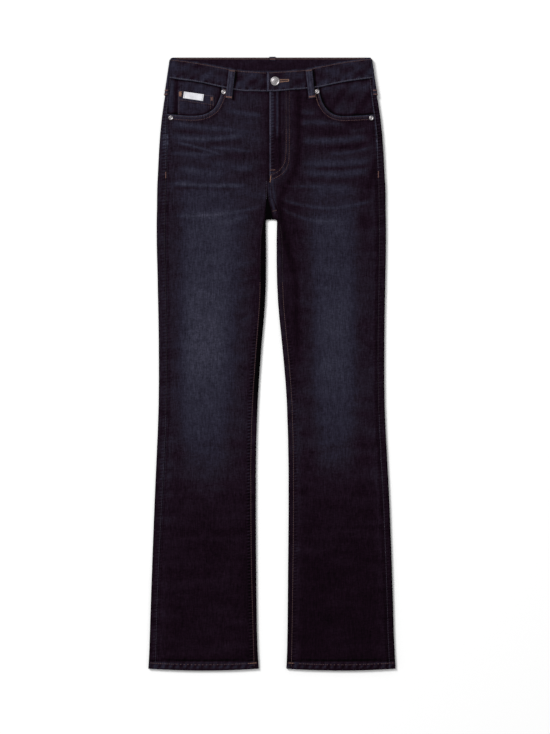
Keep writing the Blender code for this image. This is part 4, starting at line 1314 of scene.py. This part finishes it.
def pocket_facing(name, side):
    inner_x = -82.0 if side < 0 else 77.0
    left = float(outseam_x(side, 60.0)) - side * SEAM
    stops = spaced(left, inner_x, 2.4)
    shares = spaced(0.0, 80.0, 2.4) / 80

    def column_points(column, inside):
        x = np.full(len(shares), stops[column])
        low = 124.0 - 22 * smooth((abs(inner_x) + 26.0 - np.abs(x)) / 26)
        high = band_seam(x) + SEAM
        down = high + (low - high) * shares
        x = np.where(column == 0, outseam_x(side, down) - side * SEAM / 2, x)
        z = facing_height(side, x, down) - PATCH_WALL * inside
        if not inside:
            z = z - edge_roll(shares * 80.0, 0.4) + 0.08 * np.sin(x / 11 + down / 17)
        return x, down, z

    def level(x, down, z):
        value = 27.0 + 4 * np.sin(x / 9) * np.sin(down / 13) + 3 * np.sin(x / 4 + down / 6)
        if side > 0:
            value = value - 4.0 + 7 * hump(x, 136, 20) * hump(down, 88, 16)
            value += 12 * hump(down, 54, 7)
        else:
            value += 4.0 + 6 * fall(down, 62, 10)
            # painted shadow strip beside the coin pocket's edge
            value = value - 18 * hump(x, -172, 4.2) + 5 * (x < -178)
        # painted shadow under the waistband, and inside the pocket opening's edge
        value -= 14 * hump(down - band_seam(x), 1, 2.6)
        return value - 24 * hump(distance_to(OPENING_PATH[side], x, down), 1.2, 2.6)

    return shell(name, len(stops) - 1, len(shares) - 1, column_points, level=level)


def coin_top(x):
    return COIN_TOP + (x - COIN_LEFT) * COIN_SLANT


def coin_height(x, down):
    return form_top(x, down) - WALL - GAP


def coin_pocket(name):
    stops = spaced(COIN_LEFT, COIN_RIGHT, 2.0)
    height = 60.0
    run = spaced(0.0, height, 2.0)

    def column_points(column, inside):
        x = np.full(len(run), stops[column])
        high = coin_top(x)
        down = high + (COIN_BOTTOM - high) * run / height
        z = coin_height(x, down)
        if inside:
            return x, down, z - PATCH_WALL
        from_edge = min(stops[column] - COIN_LEFT, COIN_RIGHT - stops[column])
        z = z - edge_roll(from_edge, 0.5) - edge_roll(run, 0.5)
        z += 0.10 * hump(run, 9, 3) - 0.10 * hump(run, 17, 1.5)
        return x, down, z

    def level(x, down, z):
        from_top = down - coin_top(x)
        marks = 16 * bump(from_top / 1.3) + 10 * hump(x, COIN_RIGHT, 1.5) + 12 * hump(x, COIN_LEFT, 1.3)
        marks = marks - 7 * hump(from_top, 18.6, 1.4) + 4 * hump(from_top, 15.5, 1.4)
        value = 34.0 + 3 * np.sin(x / 6 + 1.0) * np.sin(down / 8) + marks
        # painted shadow inside the pocket opening's edge
        return value - 22 * hump(distance_to(OPENING_PATH[-1], x, down), 1, 2.6)

    return shell(name, len(stops) - 1, len(run) - 1, column_points, level=level)


def label(name):
    first, second, third, fourth = np.array(LABEL_CORNERS)
    width, height = 36.0, 12.0
    across = spaced(0.0, width, 1.5)
    run = spaced(0.0, height, 1.2)

    def column_points(column, inside):
        u = across[column] / width
        upper = first + (second - first) * u
        lower = fourth + (third - fourth) * u
        spot = upper + (lower - upper) * (run / height)[:, None]
        x, down = spot[:, 0], spot[:, 1]
        z = coin_height(x, down) + GAP
        if inside:
            return x, down, z
        from_edge = from_rim(across[column], width, run, height)
        z += LABEL_WALL - edge_roll(from_edge, 0.3, 0.8)
        return x, down, z + 0.10 * np.sin(across[column] / 4) * smooth(from_edge / 3)

    return shell(name, len(across) - 1, len(run) - 1, column_points, LABEL)


# ---------------------------------------------------------------- waistband and belt loops


def band_face(x, down, kind):
    """The waistband's upper face: its overlapping half, or the half that runs under it."""
    lift = -band_drop(x) if kind == "under" else band_rise(x)
    share = (down - band_top(x)) / (band_seam(x) - band_top(x))
    crown = 0.14 * np.sin(np.clip(share, 0.0, 1.0) * math.pi)
    low = 0.10 * pucker(x, (share - 0.93) * BAND_WIDTH, 9.0, 5.0, 0.9)
    high = 0.08 * pucker(x, (share - 0.07) * BAND_WIDTH, 8.0, 4.0, 2.0)
    return BAND_HEIGHT + lift + crown + (low + high) + 0.08 * np.sin(x / 19)


def waistband(name):
    stations = [("under", x) for x in np.linspace(12.0, BAND_RIGHT, 90)]
    stations += [("fold_right", angle) for angle in ROLL_ANGLES]
    stations += [("back", x) for x in np.linspace(BAND_RIGHT, BAND_LEFT, 110)]
    stations += [("fold_left", angle) for angle in ROLL_ANGLES[::-1]]
    stations += [("over", x) for x in spaced(BAND_LEFT, BAND_END, 2.0, False, True)]
    run = spaced(0.0, BAND_WIDTH, 2.6)
    share = run / BAND_WIDTH
    ends = edge_roll(run, 0.9, 1.5) + edge_roll(BAND_WIDTH - run, 0.5, 1.3)
    radius = BAND_HEIGHT / 2

    def column_points(column, inside):
        kind, at = stations[column]
        pinch = ends if not inside else -0.7 * edge_roll(run, 0.9, 1.5)
        if kind in ("under", "over"):
            high, low = float(band_top(at)), float(band_seam(at))
            down = high + (low - high) * share
            x = np.full(len(run), float(at))
            z = band_face(x, down, kind)
            if kind == "over":
                pinch = pinch + edge_roll(at - BAND_END, 0.8, 1.6) * (1 - 2 * inside)
            return x, down, z - BAND_WALL * inside - pinch
        if kind == "back":
            x = np.full(len(run), float(at))
            down = BAND_BACK_SEAM * share
            if inside:
                return x, down, BAND_WALL + pinch
            return x, down, 0.08 + 1.22 * under_back_loop(x) + pinch
        side = -1 if kind == "fold_right" else 1
        turn = float(smooth((at + math.pi / 2) / math.pi))
        high = float(band_top(side * 182.0)) * turn
        low = BAND_BACK_SEAM + (float(band_seam(side * 185.0)) - BAND_BACK_SEAM) * turn
        down = high + (low - high) * share
        wall = BAND_WALL * inside + pinch
        return folded(side * OUTER[side](down), down, side, 0.0, radius, at, wall)

    def is_behind(x, z):
        """The underside and the lower half of the side folds, but not the inner face of the back."""
        return (z < BAND_HEIGHT / 2) & ~((z > 1.6) & (np.abs(x) < -BAND_RIGHT))

    def share_of_height(x, down):
        return np.clip((down - band_top(x)) / (band_seam(x) - band_top(x)), -1.0, 2.0)

    def level(x, down, z):
        behind = is_behind(x, z)
        front = np.where(behind, np.clip(down / BAND_BACK_SEAM, 0.0, 1.0), share_of_height(x, down))
        patches = 5 * np.sin(x / 23 + 0.6) * np.sin(x / 8 + down / 9) + 4 * np.sin(x / 13 - down / 4)
        patches += 4 * np.sin(x / 5.3 + down / 3.1) * np.sin(x / 31 - 0.4)
        # painted shade beside the back loop underneath, and the front loops' painted shadow
        loops = np.where(behind, 9 * hump(np.abs(x - LOOP_BACK_X), 8, 3), painted_loop_shadow(x, down))
        value = np.where(front < -0.03, 23.0, 30.0 + patches - loops)
        value += 16 * bump(front / 0.028) + (34.0 + 8 * np.sin(x / 9)) * hump(front, 0.975, 0.034)
        face = (front > -0.02) * ~behind
        value += 52 * hump(x - BAND_END, 0.7, 0.9) * face
        # painted shade on the under end, where it dips beside the overlapping end
        value -= 12 * hump(x - BAND_END, -4.5, 2.6) * face
        return value + 5 * hump(np.abs(x), 178, 10)

    def seams(x, down, z):
        front = np.where(is_behind(x, z), down / BAND_BACK_SEAM, share_of_height(x, down))
        return np.zeros(np.shape(x)), 0.5 * hump(front, 0.08, 0.06) + 0.9 * hump(front, 0.9, 0.07)

    columns = len(stations) - 1
    return shell(name, columns, len(run) - 1, column_points, level=level, seams=seams)


def loop_level(x, down, z):
    """How bright the side loops and the back loop are."""
    return 40.0 + 7 * np.sin(down / 3.1) * np.sin(x / 1.7)


def loop_strip(name, columns, rows, column_points, level=loop_level):
    return shell(name, columns, rows, column_points, level=level, turn=70.0)


def loop_base(x, down, x_of_band):
    """What a front belt loop lies on: the waistband, then the front panel under its seam."""
    kind = "over" if x_of_band > 0 else "under"
    onto_front = ease(down - band_seam(x), 0.6, 5)
    return band_face(x, down, kind) * (1.0 - onto_front) + (surface(x, down) + 0.25) * onto_front


def loop_frame(ends):
    """A front loop's two ends, its own direction, and the direction across it."""
    first, last = np.array(ends[:2]), np.array(ends[2:])
    ahead = (last - first) / np.linalg.norm(last - first)
    return first, last, ahead, np.array([ahead[1], -ahead[0]])


def on_loop(ends, x, down):
    """How far along a front loop each place lies, and how far beside its middle line."""
    first, _, ahead, across = loop_frame(ends)
    right, below = x - first[0], down - first[1]
    return right * ahead[0] + below * ahead[1], right * across[0] + below * across[1]


def loop_lift(share):
    """How far a front loop stands off what it lies on, from its upper to its lower end."""
    return 0.9 * np.sin(math.pi * np.minimum(share / 0.8, 1.0))


def front_loop(name, ends):
    first, last, _, across = loop_frame(ends)
    length = float(np.linalg.norm(last - first))
    run = spaced(0.0, length, 1.6)
    wide = spaced(0.0, LOOP_WIDTH, 1.2)
    share = run / length

    def column_points(column, inside):
        off = wide[column] - LOOP_WIDTH / 2
        spot = first + (last - first) * share[:, None] + across * off
        x, down = spot[:, 0], spot[:, 1]
        z = loop_base(x, down, first[0]) + GAP + loop_lift(share)
        if inside:
            return x, down, z
        from_edge = from_rim(wide[column], LOOP_WIDTH, run, length)
        ridge = 0.30 * bump(off / 1.6) + 0.10 * pucker(run, off, 4.0, 5.0, 0.3)
        z += LOOP_WALL + ridge - edge_roll(from_edge, 0.75, 1.3)
        return x, down, z - 0.25 * hump(np.abs(off), 3.6, 0.8)

    def level(x, down, z):
        _, off = on_loop(ends, x, down)
        marks = 16 * bump((np.abs(off) - LOOP_WIDTH / 2) / 1.5) + 9 * bump(off / 1.6)
        # darker along the stitched grooves and on the half towards +x: painted shade
        marks = marks - 11 * hump(np.abs(off), 3.3, 1) - 9 * ease(off, 0.5, 4)
        return 46.0 + marks + 6 * np.sin(down / 2.9) * np.sin(x / 1.9)

    return loop_strip(name, len(wide) - 1, len(run) - 1, column_points, level)


def side_loop_place(side, down, angle, out):
    """A place on a side loop, out from what it lies on.

    The loop hangs straight, so its lower end slides to the front.
    """
    outside = BAND_HEIGHT / 2 + GAP + out
    slide = (3.0 if side < 0 else 4.5) * ease(down, 30, 34)
    arc = (math.pi / 2 - angle) * outside - slide
    flat = np.minimum(arc, 0.0)
    angle = math.pi / 2 - np.maximum(arc, 0.0) / outside
    x = side * (OUTER[side](down) - BAND_HEIGHT / 2 + flat + outside * np.cos(angle))
    return x, BAND_HEIGHT / 2 + outside * np.sin(angle)


def side_loop(name, side):
    high, low = 4.0, 69.0
    run = spaced(high, low, 1.8)
    angles = np.radians(np.linspace(62.0, -38.0, 13))

    def column_points(column, inside):
        from_edge = from_rim(column, len(angles) - 1, run - high, low - high)
        rise = 0.0 if inside else LOOP_WALL - edge_roll(from_edge, 0.6, 1.4) + 0.12 * np.sin(run / 2) ** 2
        x, z = side_loop_place(side, run, angles[column], rise)
        return x, run, z

    return loop_strip(name, len(angles) - 1, len(run) - 1, column_points)


def back_loop(name):
    half = PATCH_WALL / 2
    lift = BAND_WALL + GAP + half
    path = [(50.0, half), (0.8, half), (-0.55, half + 0.15), (-0.85, half + 0.7), (-0.85, lift - 0.7)]
    path = resampled(path + [(-0.5, lift - 0.2), (0.3, lift), (5.5, lift)], 0.8)
    wide = spaced(0.0, LOOP_WIDTH, 1.4)

    def column_points(column, inside):
        off = wide[column] - LOOP_WIDTH / 2
        edge = edge_roll(min(wide[column], LOOP_WIDTH - wide[column]), 0.3, 1.2)
        reach = half if inside else -half + edge - 0.12 * float(bump(off / 1.6))
        spot = shifted(path, -reach)
        return np.full(len(path), LOOP_BACK_X + off), spot[:, 0], np.maximum(spot[:, 1], 0.0)

    return loop_strip(name, len(wide) - 1, len(path) - 1, column_points)


# ---------------------------------------------------------------- metal


def turned(name, profile, centre, foot, segments):
    """A round piece from a profile of (radius, z), closed at the axis at both ends."""
    bm = bmesh.new()
    points = [bm.verts.new(Vector((radius * MM, 0.0, z * MM))) for radius, z in profile]
    edges = [bm.edges.new(pair) for pair in zip(points, points[1:])]
    around = {"axis": (0.0, 0.0, 1.0), "cent": (0.0, 0.0, 0.0), "angle": 2.0 * math.pi, "use_merge": True}
    bmesh.ops.spin(bm, geom=points + edges, steps=segments, **around)
    bmesh.ops.remove_doubles(bm, verts=bm.verts[:], dist=1e-6)
    bmesh.ops.recalc_face_normals(bm, faces=bm.faces[:])
    place = Vector((centre[0], MID_DOWN - centre[1], foot)) * MM
    bmesh.ops.translate(bm, verts=bm.verts[:], vec=place)
    mesh = bpy.data.meshes.new(name + "_dressed")
    bm.to_mesh(mesh)
    bm.free()
    if closed_volume(mesh) < 0:
        mesh.flip_normals()
    return add_piece(name + "_dressed", mesh, METAL, (name,), 38.0)


# profiles from the middle out and down to the foot: the share of the radius, and the height
BUTTON_HEAD = (
    (0, 2.35), (0.18, 2.38), (0.36, 2.3), (0.52, 2.1), (0.62, 1.85), (0.66, 1.75), (0.7, 1.8), (0.75, 2.1),
)
BUTTON_RIM = (
    (0.81, 2.25), (0.88, 2.15), (0.95, 1.7), (0.99, 1.15), (1, 0.8), (0.98, 0.35), (0.9, 0.05), (0.8, 0),
)
RIVET_HEAD = (
    (0, 1.5), (0.12, 1.52), (0.22, 1.45), (0.27, 1.1), (0.32, 0.92), (0.42, 0.9), (0.52, 0.98), (0.62, 1.25),
)
RIVET_RIM = ((0.72, 1.4), (0.82, 1.38), (0.92, 1.12), (0.98, 0.7), (1, 0.4), (0.98, 0.1), (0.9, 0), (0, 0))


def button():
    seat = BAND_HEIGHT - BAND_DROP + GAP
    head = BAND_HEIGHT + BAND_RISE + GAP - seat
    shape = [(BUTTON_RADIUS * share, head + z) for share, z in BUTTON_HEAD + BUTTON_RIM]
    shank = [(2.0, head), (2.0, 0.1), (1.9, 0.0), (0.0, 0.0)]
    return turned("button", shape + shank, BUTTON_AT, seat, 56)


def rivet(name, x, down):
    shape = [(RIVET_RADIUS * share, z) for share, z in RIVET_HEAD + RIVET_RIM]
    return turned(name, shape, (x, down), float(form_top(np.array(x), np.array(down))) + GAP, 36)


# ---------------------------------------------------------------- sewing


class Sewing:
    """Collects stitches of one thread, then makes them one piece."""

    def __init__(self, name, material):
        self.name = name
        self.material = material
        self.places = []
        self.rng = random.Random(len(name) * 7 + 3)

    def stitch(self, x, down, z, heading, length, width, height, tilt=0.0):
        """One stitch, long along its heading, on the x and y plane."""
        turn = Matrix.Rotation(heading, 4, "Z") @ Matrix.Rotation(tilt, 4, "Y")
        size = Matrix.Diagonal((length * 0.5 * MM, width * 0.5 * MM, height * 0.5 * MM, 1.0))
        self.places.append(Matrix.Translation((x * MM, (MID_DOWN - down) * MM, z * MM)) @ turn @ size)

    def row(self, path, height_of, pitch=3.3, width=0.8, under=False, length=None):
        """A row of stitches along a path, each wandering a little off it."""
        wander = 0.12
        points = resampled(path, pitch)
        length = length or pitch * 0.82
        mids = (points[1:] + points[:-1]) / 2
        shake = [(self.rng.uniform(-wander, wander), self.rng.uniform(-wander, wander)) for _ in mids]
        mids = mids + np.array(shake)
        start = height_of(points[:-1, 0], points[:-1, 1])
        end = height_of(points[1:, 0], points[1:, 1])
        middle = height_of(mids[:, 0], mids[:, 1])
        lift = -0.02 if under else 0.10
        for i, (x, down) in enumerate(mids):
            across, below = points[i + 1] - points[i]
            heading = math.atan2(-below, across) + self.rng.uniform(-0.06, 0.06)
            tilt = -math.atan2(float(end[i] - start[i]), math.hypot(across, below))
            self.stitch(x, down, float(middle[i]) + lift, heading, length, width, 0.5, tilt)

    def bartack(self, x, down, heading, length, width, height_of, pitch=0.7):
        """Close stitches across a bar: heading is the bar's own direction."""
        count = max(int(round(length / pitch)), 2)
        off = (np.arange(count) + 0.5) / count * length - length / 2
        xs, downs = x + math.cos(heading) * off, down - math.sin(heading) * off
        heights = height_of(xs, downs)
        for i in range(count):
            lean = self.rng.uniform(-0.15, 0.15) + (0.12 if i % 2 else -0.12)
            turn = heading + math.pi / 2 + lean
            self.stitch(xs[i], downs[i], float(heights[i]) + 0.22, turn, width, pitch * 1.25, 0.75)

    def finish(self):
        seed = bmesh.new()
        lengthways = Matrix.Rotation(math.pi / 2.0, 4, "Y")
        bmesh.ops.create_uvsphere(seed, u_segments=6, v_segments=4, radius=1.0, matrix=lengthways)
        one = bpy.data.meshes.new("stitch")
        seed.to_mesh(one)
        seed.free()
        bm = bmesh.new()
        for _ in self.places:
            bm.from_mesh(one)
        mesh = bpy.data.meshes.new(self.name)
        bm.to_mesh(mesh)
        bm.free()
        shape = np.array([vert.co[:] for vert in one.vertices])
        places = np.array(self.places)
        points = np.einsum("nij,vj->nvi", places[:, :3, :3], shape) + places[:, None, :3, 3]
        place_points(mesh, points)
        return add_piece(self.name, mesh, self.material, (), 180.0)


def flat_at(z):
    return lambda x, down: np.full(np.shape(x), z, dtype=float)


def lower_face(side):
    return lambda x, down: under_relief(side, x, down)


def over_band(x, down):
    return band_face(x, down, "over")


def under_band(x, down):
    return band_face(x, down, "under")


def rim_surface(x, down):
    """The upper layer near the seams, where stitches sink in."""
    return form_top(x, down) + relief(x, down) - 0.1


def label_face(x, down):
    return coin_height(x, down) + GAP + LABEL_WALL


def upright(x, start, end):
    """A straight line down the cloth."""
    return along(lambda downs: np.full(np.shape(downs), x), start, end)


def beside_seam(seam_x, side, off, start, end):
    """A line along one leg's outseam or inseam, some way beside it."""
    return along(lambda downs: seam_x(side, downs) + side * off, start, end)


def hem_line(side, up):
    """A line across one hem, some way above its edge."""
    near = 1090.0  # where the legs' edges are taken
    inner, outer = float(INNER[side](near)), float(OUTER[side](near))
    xs = np.linspace(inner + side * 3.2, side * (outer - 3.2), 60)
    downs = np.full(len(xs), HEM_DOWN - up)
    return np.column_stack([xs, downs + hem_bow(side, xs, downs)])


def pocket_rows(side):
    """The two stitched rows along the outside of a front pocket opening."""
    rows = []
    for off in (3.0, 7.8):
        row = shifted(OPENING_PATH[side], off * side)
        seam = np.abs(outseam_x(side, row[:, 1]))
        rows.append(row[(row[:, 1] > band_seam(row[:, 0]) + 1.2) & (np.abs(row[:, 0]) < seam - 1.0)])
    return rows


def sew_band(dull, tonal):
    for face, start, end in ((under_band, -184.0, -10.5), (over_band, -5.0, 180.0)):
        xs = np.linspace(start, end, 80)
        dull.row(np.column_stack([xs, band_top(xs) + 2.3]), face, 3.0, 1.2, length=2.8)
        tonal.row(np.column_stack([xs, band_seam(xs) - 1.6]), face, width=1.4)
    # close brown stitches bind the top edge, inside the back
    for start, end in ((-172.0, -5.5), (7.5, 168.0)):
        dull.row(np.array([(start, 2.4), (end, 2.4)]), flat_at(BAND_WALL), 1.5, 2.2, length=1.6)
    tonal.row(upright(BAND_END + 2.2, 29.5, 58.6), over_band)


def sew_fronts(dull, copper, tonal):
    for side in (-1, 1):
        near, far = pocket_rows(side)
        dull.row(near, surface, 3.0, 0.9, length=2.9)
        copper.row(far, surface, 3.0, 0.9, length=2.9)
    for curve in (FLY_J, FLY_J_INNER):
        turning = int(np.argmax(curve[:, 1] > 128))
        dull.row(curve[: turning + 1], surface, width=0.5)
        copper.row(curve[turning:], surface, width=0.6)
    tonal.row(upright(FLY_EDGE + 1.9, 64.0, 212.0), surface)
    tonal.row(upright(FLY_EDGE - 6.0, 222.0, 256.0), surface)


def sew_legs(dull, bright, tonal, dark):
    for side in (-1, 1):
        for thread, start, end in ((tonal, 40.0, 200.0), (dark, 203.0, 640.0), (tonal, 643.0, 1096.0)):
            width = 0.8 if start < 600 else 0.5
            thread.row(beside_seam(outseam_x, side, 1.9, start, end), rim_surface, width=width)
        for thread, start, end, width in ((dark, 300.0, 402.0, 0.8), (dull, 404.0, 1096.0, 1.1)):
            thread.row(beside_seam(inseam_x, side, 0.9, start, end), rim_surface, width=width)
        line = hem_line(side, 10.6)
        near_inseam = np.abs(line[:, 0]) < 44
        dull.row(line[~near_inseam], rim_surface, width=1.5)
        bright.row(line[near_inseam], rim_surface, width=1.5)


def sew_coin_pocket(dull, copper, bright, tonal):
    for off in (1.8, 17.0):
        xs = np.linspace(COIN_LEFT + 1.0, COIN_RIGHT - 1.0, 20)
        dull.row(np.column_stack([xs, coin_top(xs) + off]), coin_height)
    for x, low in ((COIN_LEFT + 1.8, 103.0), (COIN_RIGHT - 1.8, 88.0), (COIN_RIGHT - 6.6, 93.0)):
        dull.row(upright(x, float(coin_top(x)) + 3.0, low), coin_height)
    bright.bartack(COIN_LEFT + 4.2, 66.2, math.pi / 2, 8.5, 6.0, coin_height)
    copper.bartack(COIN_RIGHT - 4.2, 75.0, math.pi / 2, 6.0, 5.2, coin_height)
    first, second, third, fourth = np.array(LABEL_CORNERS)
    for u in (0.06, 0.94):
        a = first * (1 - u) + second * u
        b = fourth * (1 - u) + third * u
        tonal.row(np.array([a + (b - a) * 0.08, a + (b - a) * 0.92]), label_face, 2.2, 0.5)


def sew_bartacks(dull, copper, bright):
    """The bars at the foot of the fly, at the crotch, and on the outseams."""
    bright.bartack(-2.6, 219.0, math.radians(84.0), 12.0, 1.7, surface)
    copper.bartack(1.0, 203.0, math.radians(4.0), 10.0, 1.5, surface)
    dull.bartack(4.8, 276.0, math.radians(12.0), 8.0, 1.3, lambda x, down: form_top(x, down) + 0.1)
    for side, down in ((-1, 212.0), (1, 211.0)):
        copper.bartack(float(outseam_x(side, down)) + side * 1.8, down, math.pi / 2, 11.5, 2.0, rim_surface)


def sew_loops(dull, copper, tonal):
    for ends in FRONT_LOOPS.values():
        first, last, _, across = loop_frame(ends)
        length = float(np.linalg.norm(last - first))
        heading = math.atan2(-across[1], across[0])

        def loop_top(x, down, ends=ends, length=length):
            run, _ = on_loop(ends, x, down)
            return loop_base(x, down, ends[0]) + GAP + LOOP_WALL + loop_lift(run / length)

        for share, thread in ((0.045, dull), (0.945, copper)):
            spot = first + (last - first) * share
            thread.bartack(spot[0], spot[1], heading, LOOP_WIDTH - 1.2, 3.6, loop_top)
        for off in (-3.6, 3.6):
            start = first + (last - first) * 0.1 + across * off
            end = first + (last - first) * 0.9 + across * off
            tonal.row(np.array([start, end]), loop_top, 2.8, 0.6)
    for side in (-1, 1):
        for down in (60.0, 67.0):
            for angle in np.radians(np.linspace(59.0, -32.0, 13)):
                x, z = side_loop_place(side, down, angle, LOOP_WALL + 0.12)
                copper.stitch(float(x), down, float(z), math.pi / 2, 2.4, 0.9, 0.8)
    copper.bartack(LOOP_BACK_X, 3.0, 0.0, LOOP_WIDTH - 1.4, 2.2, flat_at(BAND_WALL + GAP + PATCH_WALL - 0.1))


def sew_buttonhole(bright):
    """Close stitches along both edges of the buttonhole and round its end."""
    x, down = BUTTON_AT
    start, end = x + 8.2, x + 23.6
    per_edge, at_end = 26, 9

    def edge_stitch(px, off, heading, length, width):
        pd = down - 0.6 - 0.06 * (min(px, end) - start) + off
        bright.stitch(px, pd, float(over_band(np.array(px), np.array(pd))) + 0.2, heading, length, width, 0.7)

    for row in (-1, 1):
        for share in np.linspace(0.0, 1.0, per_edge):
            off = (1.9 - 0.5 * share) * row
            edge_stitch(start + (end - start) * share, off, math.pi / 2 + 0.1 * row, 2.5 - 0.6 * share, 0.62)
    for angle in np.radians(np.linspace(-90.0, 90.0, at_end)):
        edge_stitch(end + math.cos(angle), 1.3 * math.sin(angle), -angle, 2.2, 0.6)


def sew_under(copper):
    """The hidden side: back pockets, yoke seams, seat seam, hems, waistband and back loop."""
    flat = flat_at(0.05)
    for side in (-1, 1):
        corners = POCKET_PATH[side]
        middle = corners[:5].mean(axis=0)
        for inset in (2.2, 8.6):
            ring = middle + (corners - middle) * (1.0 - inset / 62)
            copper.row(ring[[1, 2, 3, 4, 0]], flat, under=True)
        for off in (12.0, 3.0):
            copper.row(corners[:2] + np.array([(-3 * side, off), (3 * side, off)]), flat, under=True)
        for off in (2.0, 8.0):
            outer = (side * 186.0, YOKE_SIDE + off + 1.0)
            inner = (back_seam_x(side) + side * 1.5, YOKE_CENTRE + off + 0.6)
            copper.row(np.array([outer, inner]), lower_face(side), under=True)
        copper.row(hem_line(side, 11.0), lower_face(side), under=True)
    for off in (1.9, 7.9):
        copper.row(upright(BACK_SEAM + off, YOKE_CENTRE + 9.0, 286.0), lower_face(1), under=True)
    for down in (BAND_BACK_SEAM - 2.4, 2.6):
        for start, end in ((BAND_RIGHT, LOOP_BACK_X - 7.0), (LOOP_BACK_X + 7.0, BAND_LEFT)):
            copper.row(np.array([(start, down), (end, down)]), flat_at(0.1), under=True)
    for down in (3.6, 46.6):
        for i in range(14):
            copper.stitch(LOOP_BACK_X - 4.9 + 0.75 * i, down, 0.02, math.pi / 2, 2.3, 0.9, 0.5)


# ---------------------------------------------------------------- assembly


def stage():
    """The floor, the light and the camera, which looks straight down."""
    bm = bmesh.new()
    bmesh.ops.create_grid(bm, x_segments=1, y_segments=1, size=4.0)
    mesh = bpy.data.meshes.new("floor")
    bm.to_mesh(mesh)
    bm.free()
    floor = bpy.data.objects.new("floor", mesh)
    floor.location = (0.0, 0.0, -0.0004)
    bpy.context.scene.collection.objects.link(floor)
    pale, tree, shader = new_material("pale_floor")
    fill(tree, shader, {"Base Color": (0.86, 0.86, 0.86, 1.0), "Roughness": 0.9, "Specular IOR Level": 0.1})
    mesh.materials.append(pale)
    scene = bpy.context.scene
    scene.view_settings.view_transform = "Standard"
    world = bpy.data.worlds.new("studio")
    scene.world = world
    world.use_nodes = True
    sky = world.node_tree.nodes["Background"]
    fill(world.node_tree, sky, {"Color": (1.0, 1.0, 1.0, 1.0), "Strength": WORLD_LIGHT})
    light = bpy.data.lights.new("key", "AREA")
    light.shape = "DISK"
    light.size = 3.2
    toward = Vector((-0.80, 0.76, 1.0)).normalized()
    distance = 9.5
    light.energy = KEY_LIGHT * math.pi**2 * distance**2 / toward.z
    lamp = bpy.data.objects.new("key", light)
    lamp.location = toward * distance
    lamp.rotation_euler = toward.to_track_quat("Z", "Y").to_euler()
    scene.collection.objects.link(lamp)
    camera = bpy.data.cameras.new("camera")
    camera.sensor_fit = "VERTICAL"
    camera.sensor_height = 36.0
    camera.lens = 100.0
    camera.clip_end = 50.0
    holder = bpy.data.objects.new("camera", camera)
    holder.location = (0.0055, -0.0061, 3.673)
    scene.collection.objects.link(holder)
    scene.camera = holder


def main():
    stage()
    for side, word in ((-1, "right"), (1, "left")):
        back_panel("back_" + word, side)
        front_panel("front_" + word, side)
        yoke("yoke_" + word, side)
        back_pocket("back_pocket_" + word, side)
        pocket_facing("pocket_facing_" + word, side)
        side_loop("loop_side_" + word, side)
    waistband("waistband")
    coin_pocket("coin_pocket")
    label("label")
    for name, ends in FRONT_LOOPS.items():
        front_loop(name, ends)
    back_loop("loop_back")
    button()
    for name, (x, down) in RIVETS.items():
        rivet(name, x, down)
    dull = Sewing("thread_brown", THREAD_DULL)
    copper = Sewing("thread_copper", THREAD)
    bright = Sewing("thread_orange", THREAD_BRIGHT)
    tonal = Sewing("thread_blue", THREAD_TONAL)
    dark = Sewing("thread_dark", THREAD_DARK)
    under = Sewing("thread_under", THREAD)
    sew_band(dull, tonal)
    sew_fronts(dull, copper, tonal)
    sew_legs(dull, bright, tonal, dark)
    sew_coin_pocket(dull, copper, bright, tonal)
    sew_bartacks(dull, copper, bright)
    sew_loops(dull, copper, tonal)
    sew_buttonhole(bright)
    sew_under(under)
    for thread in (dull, copper, bright, tonal, dark, under):
        thread.finish()


main()
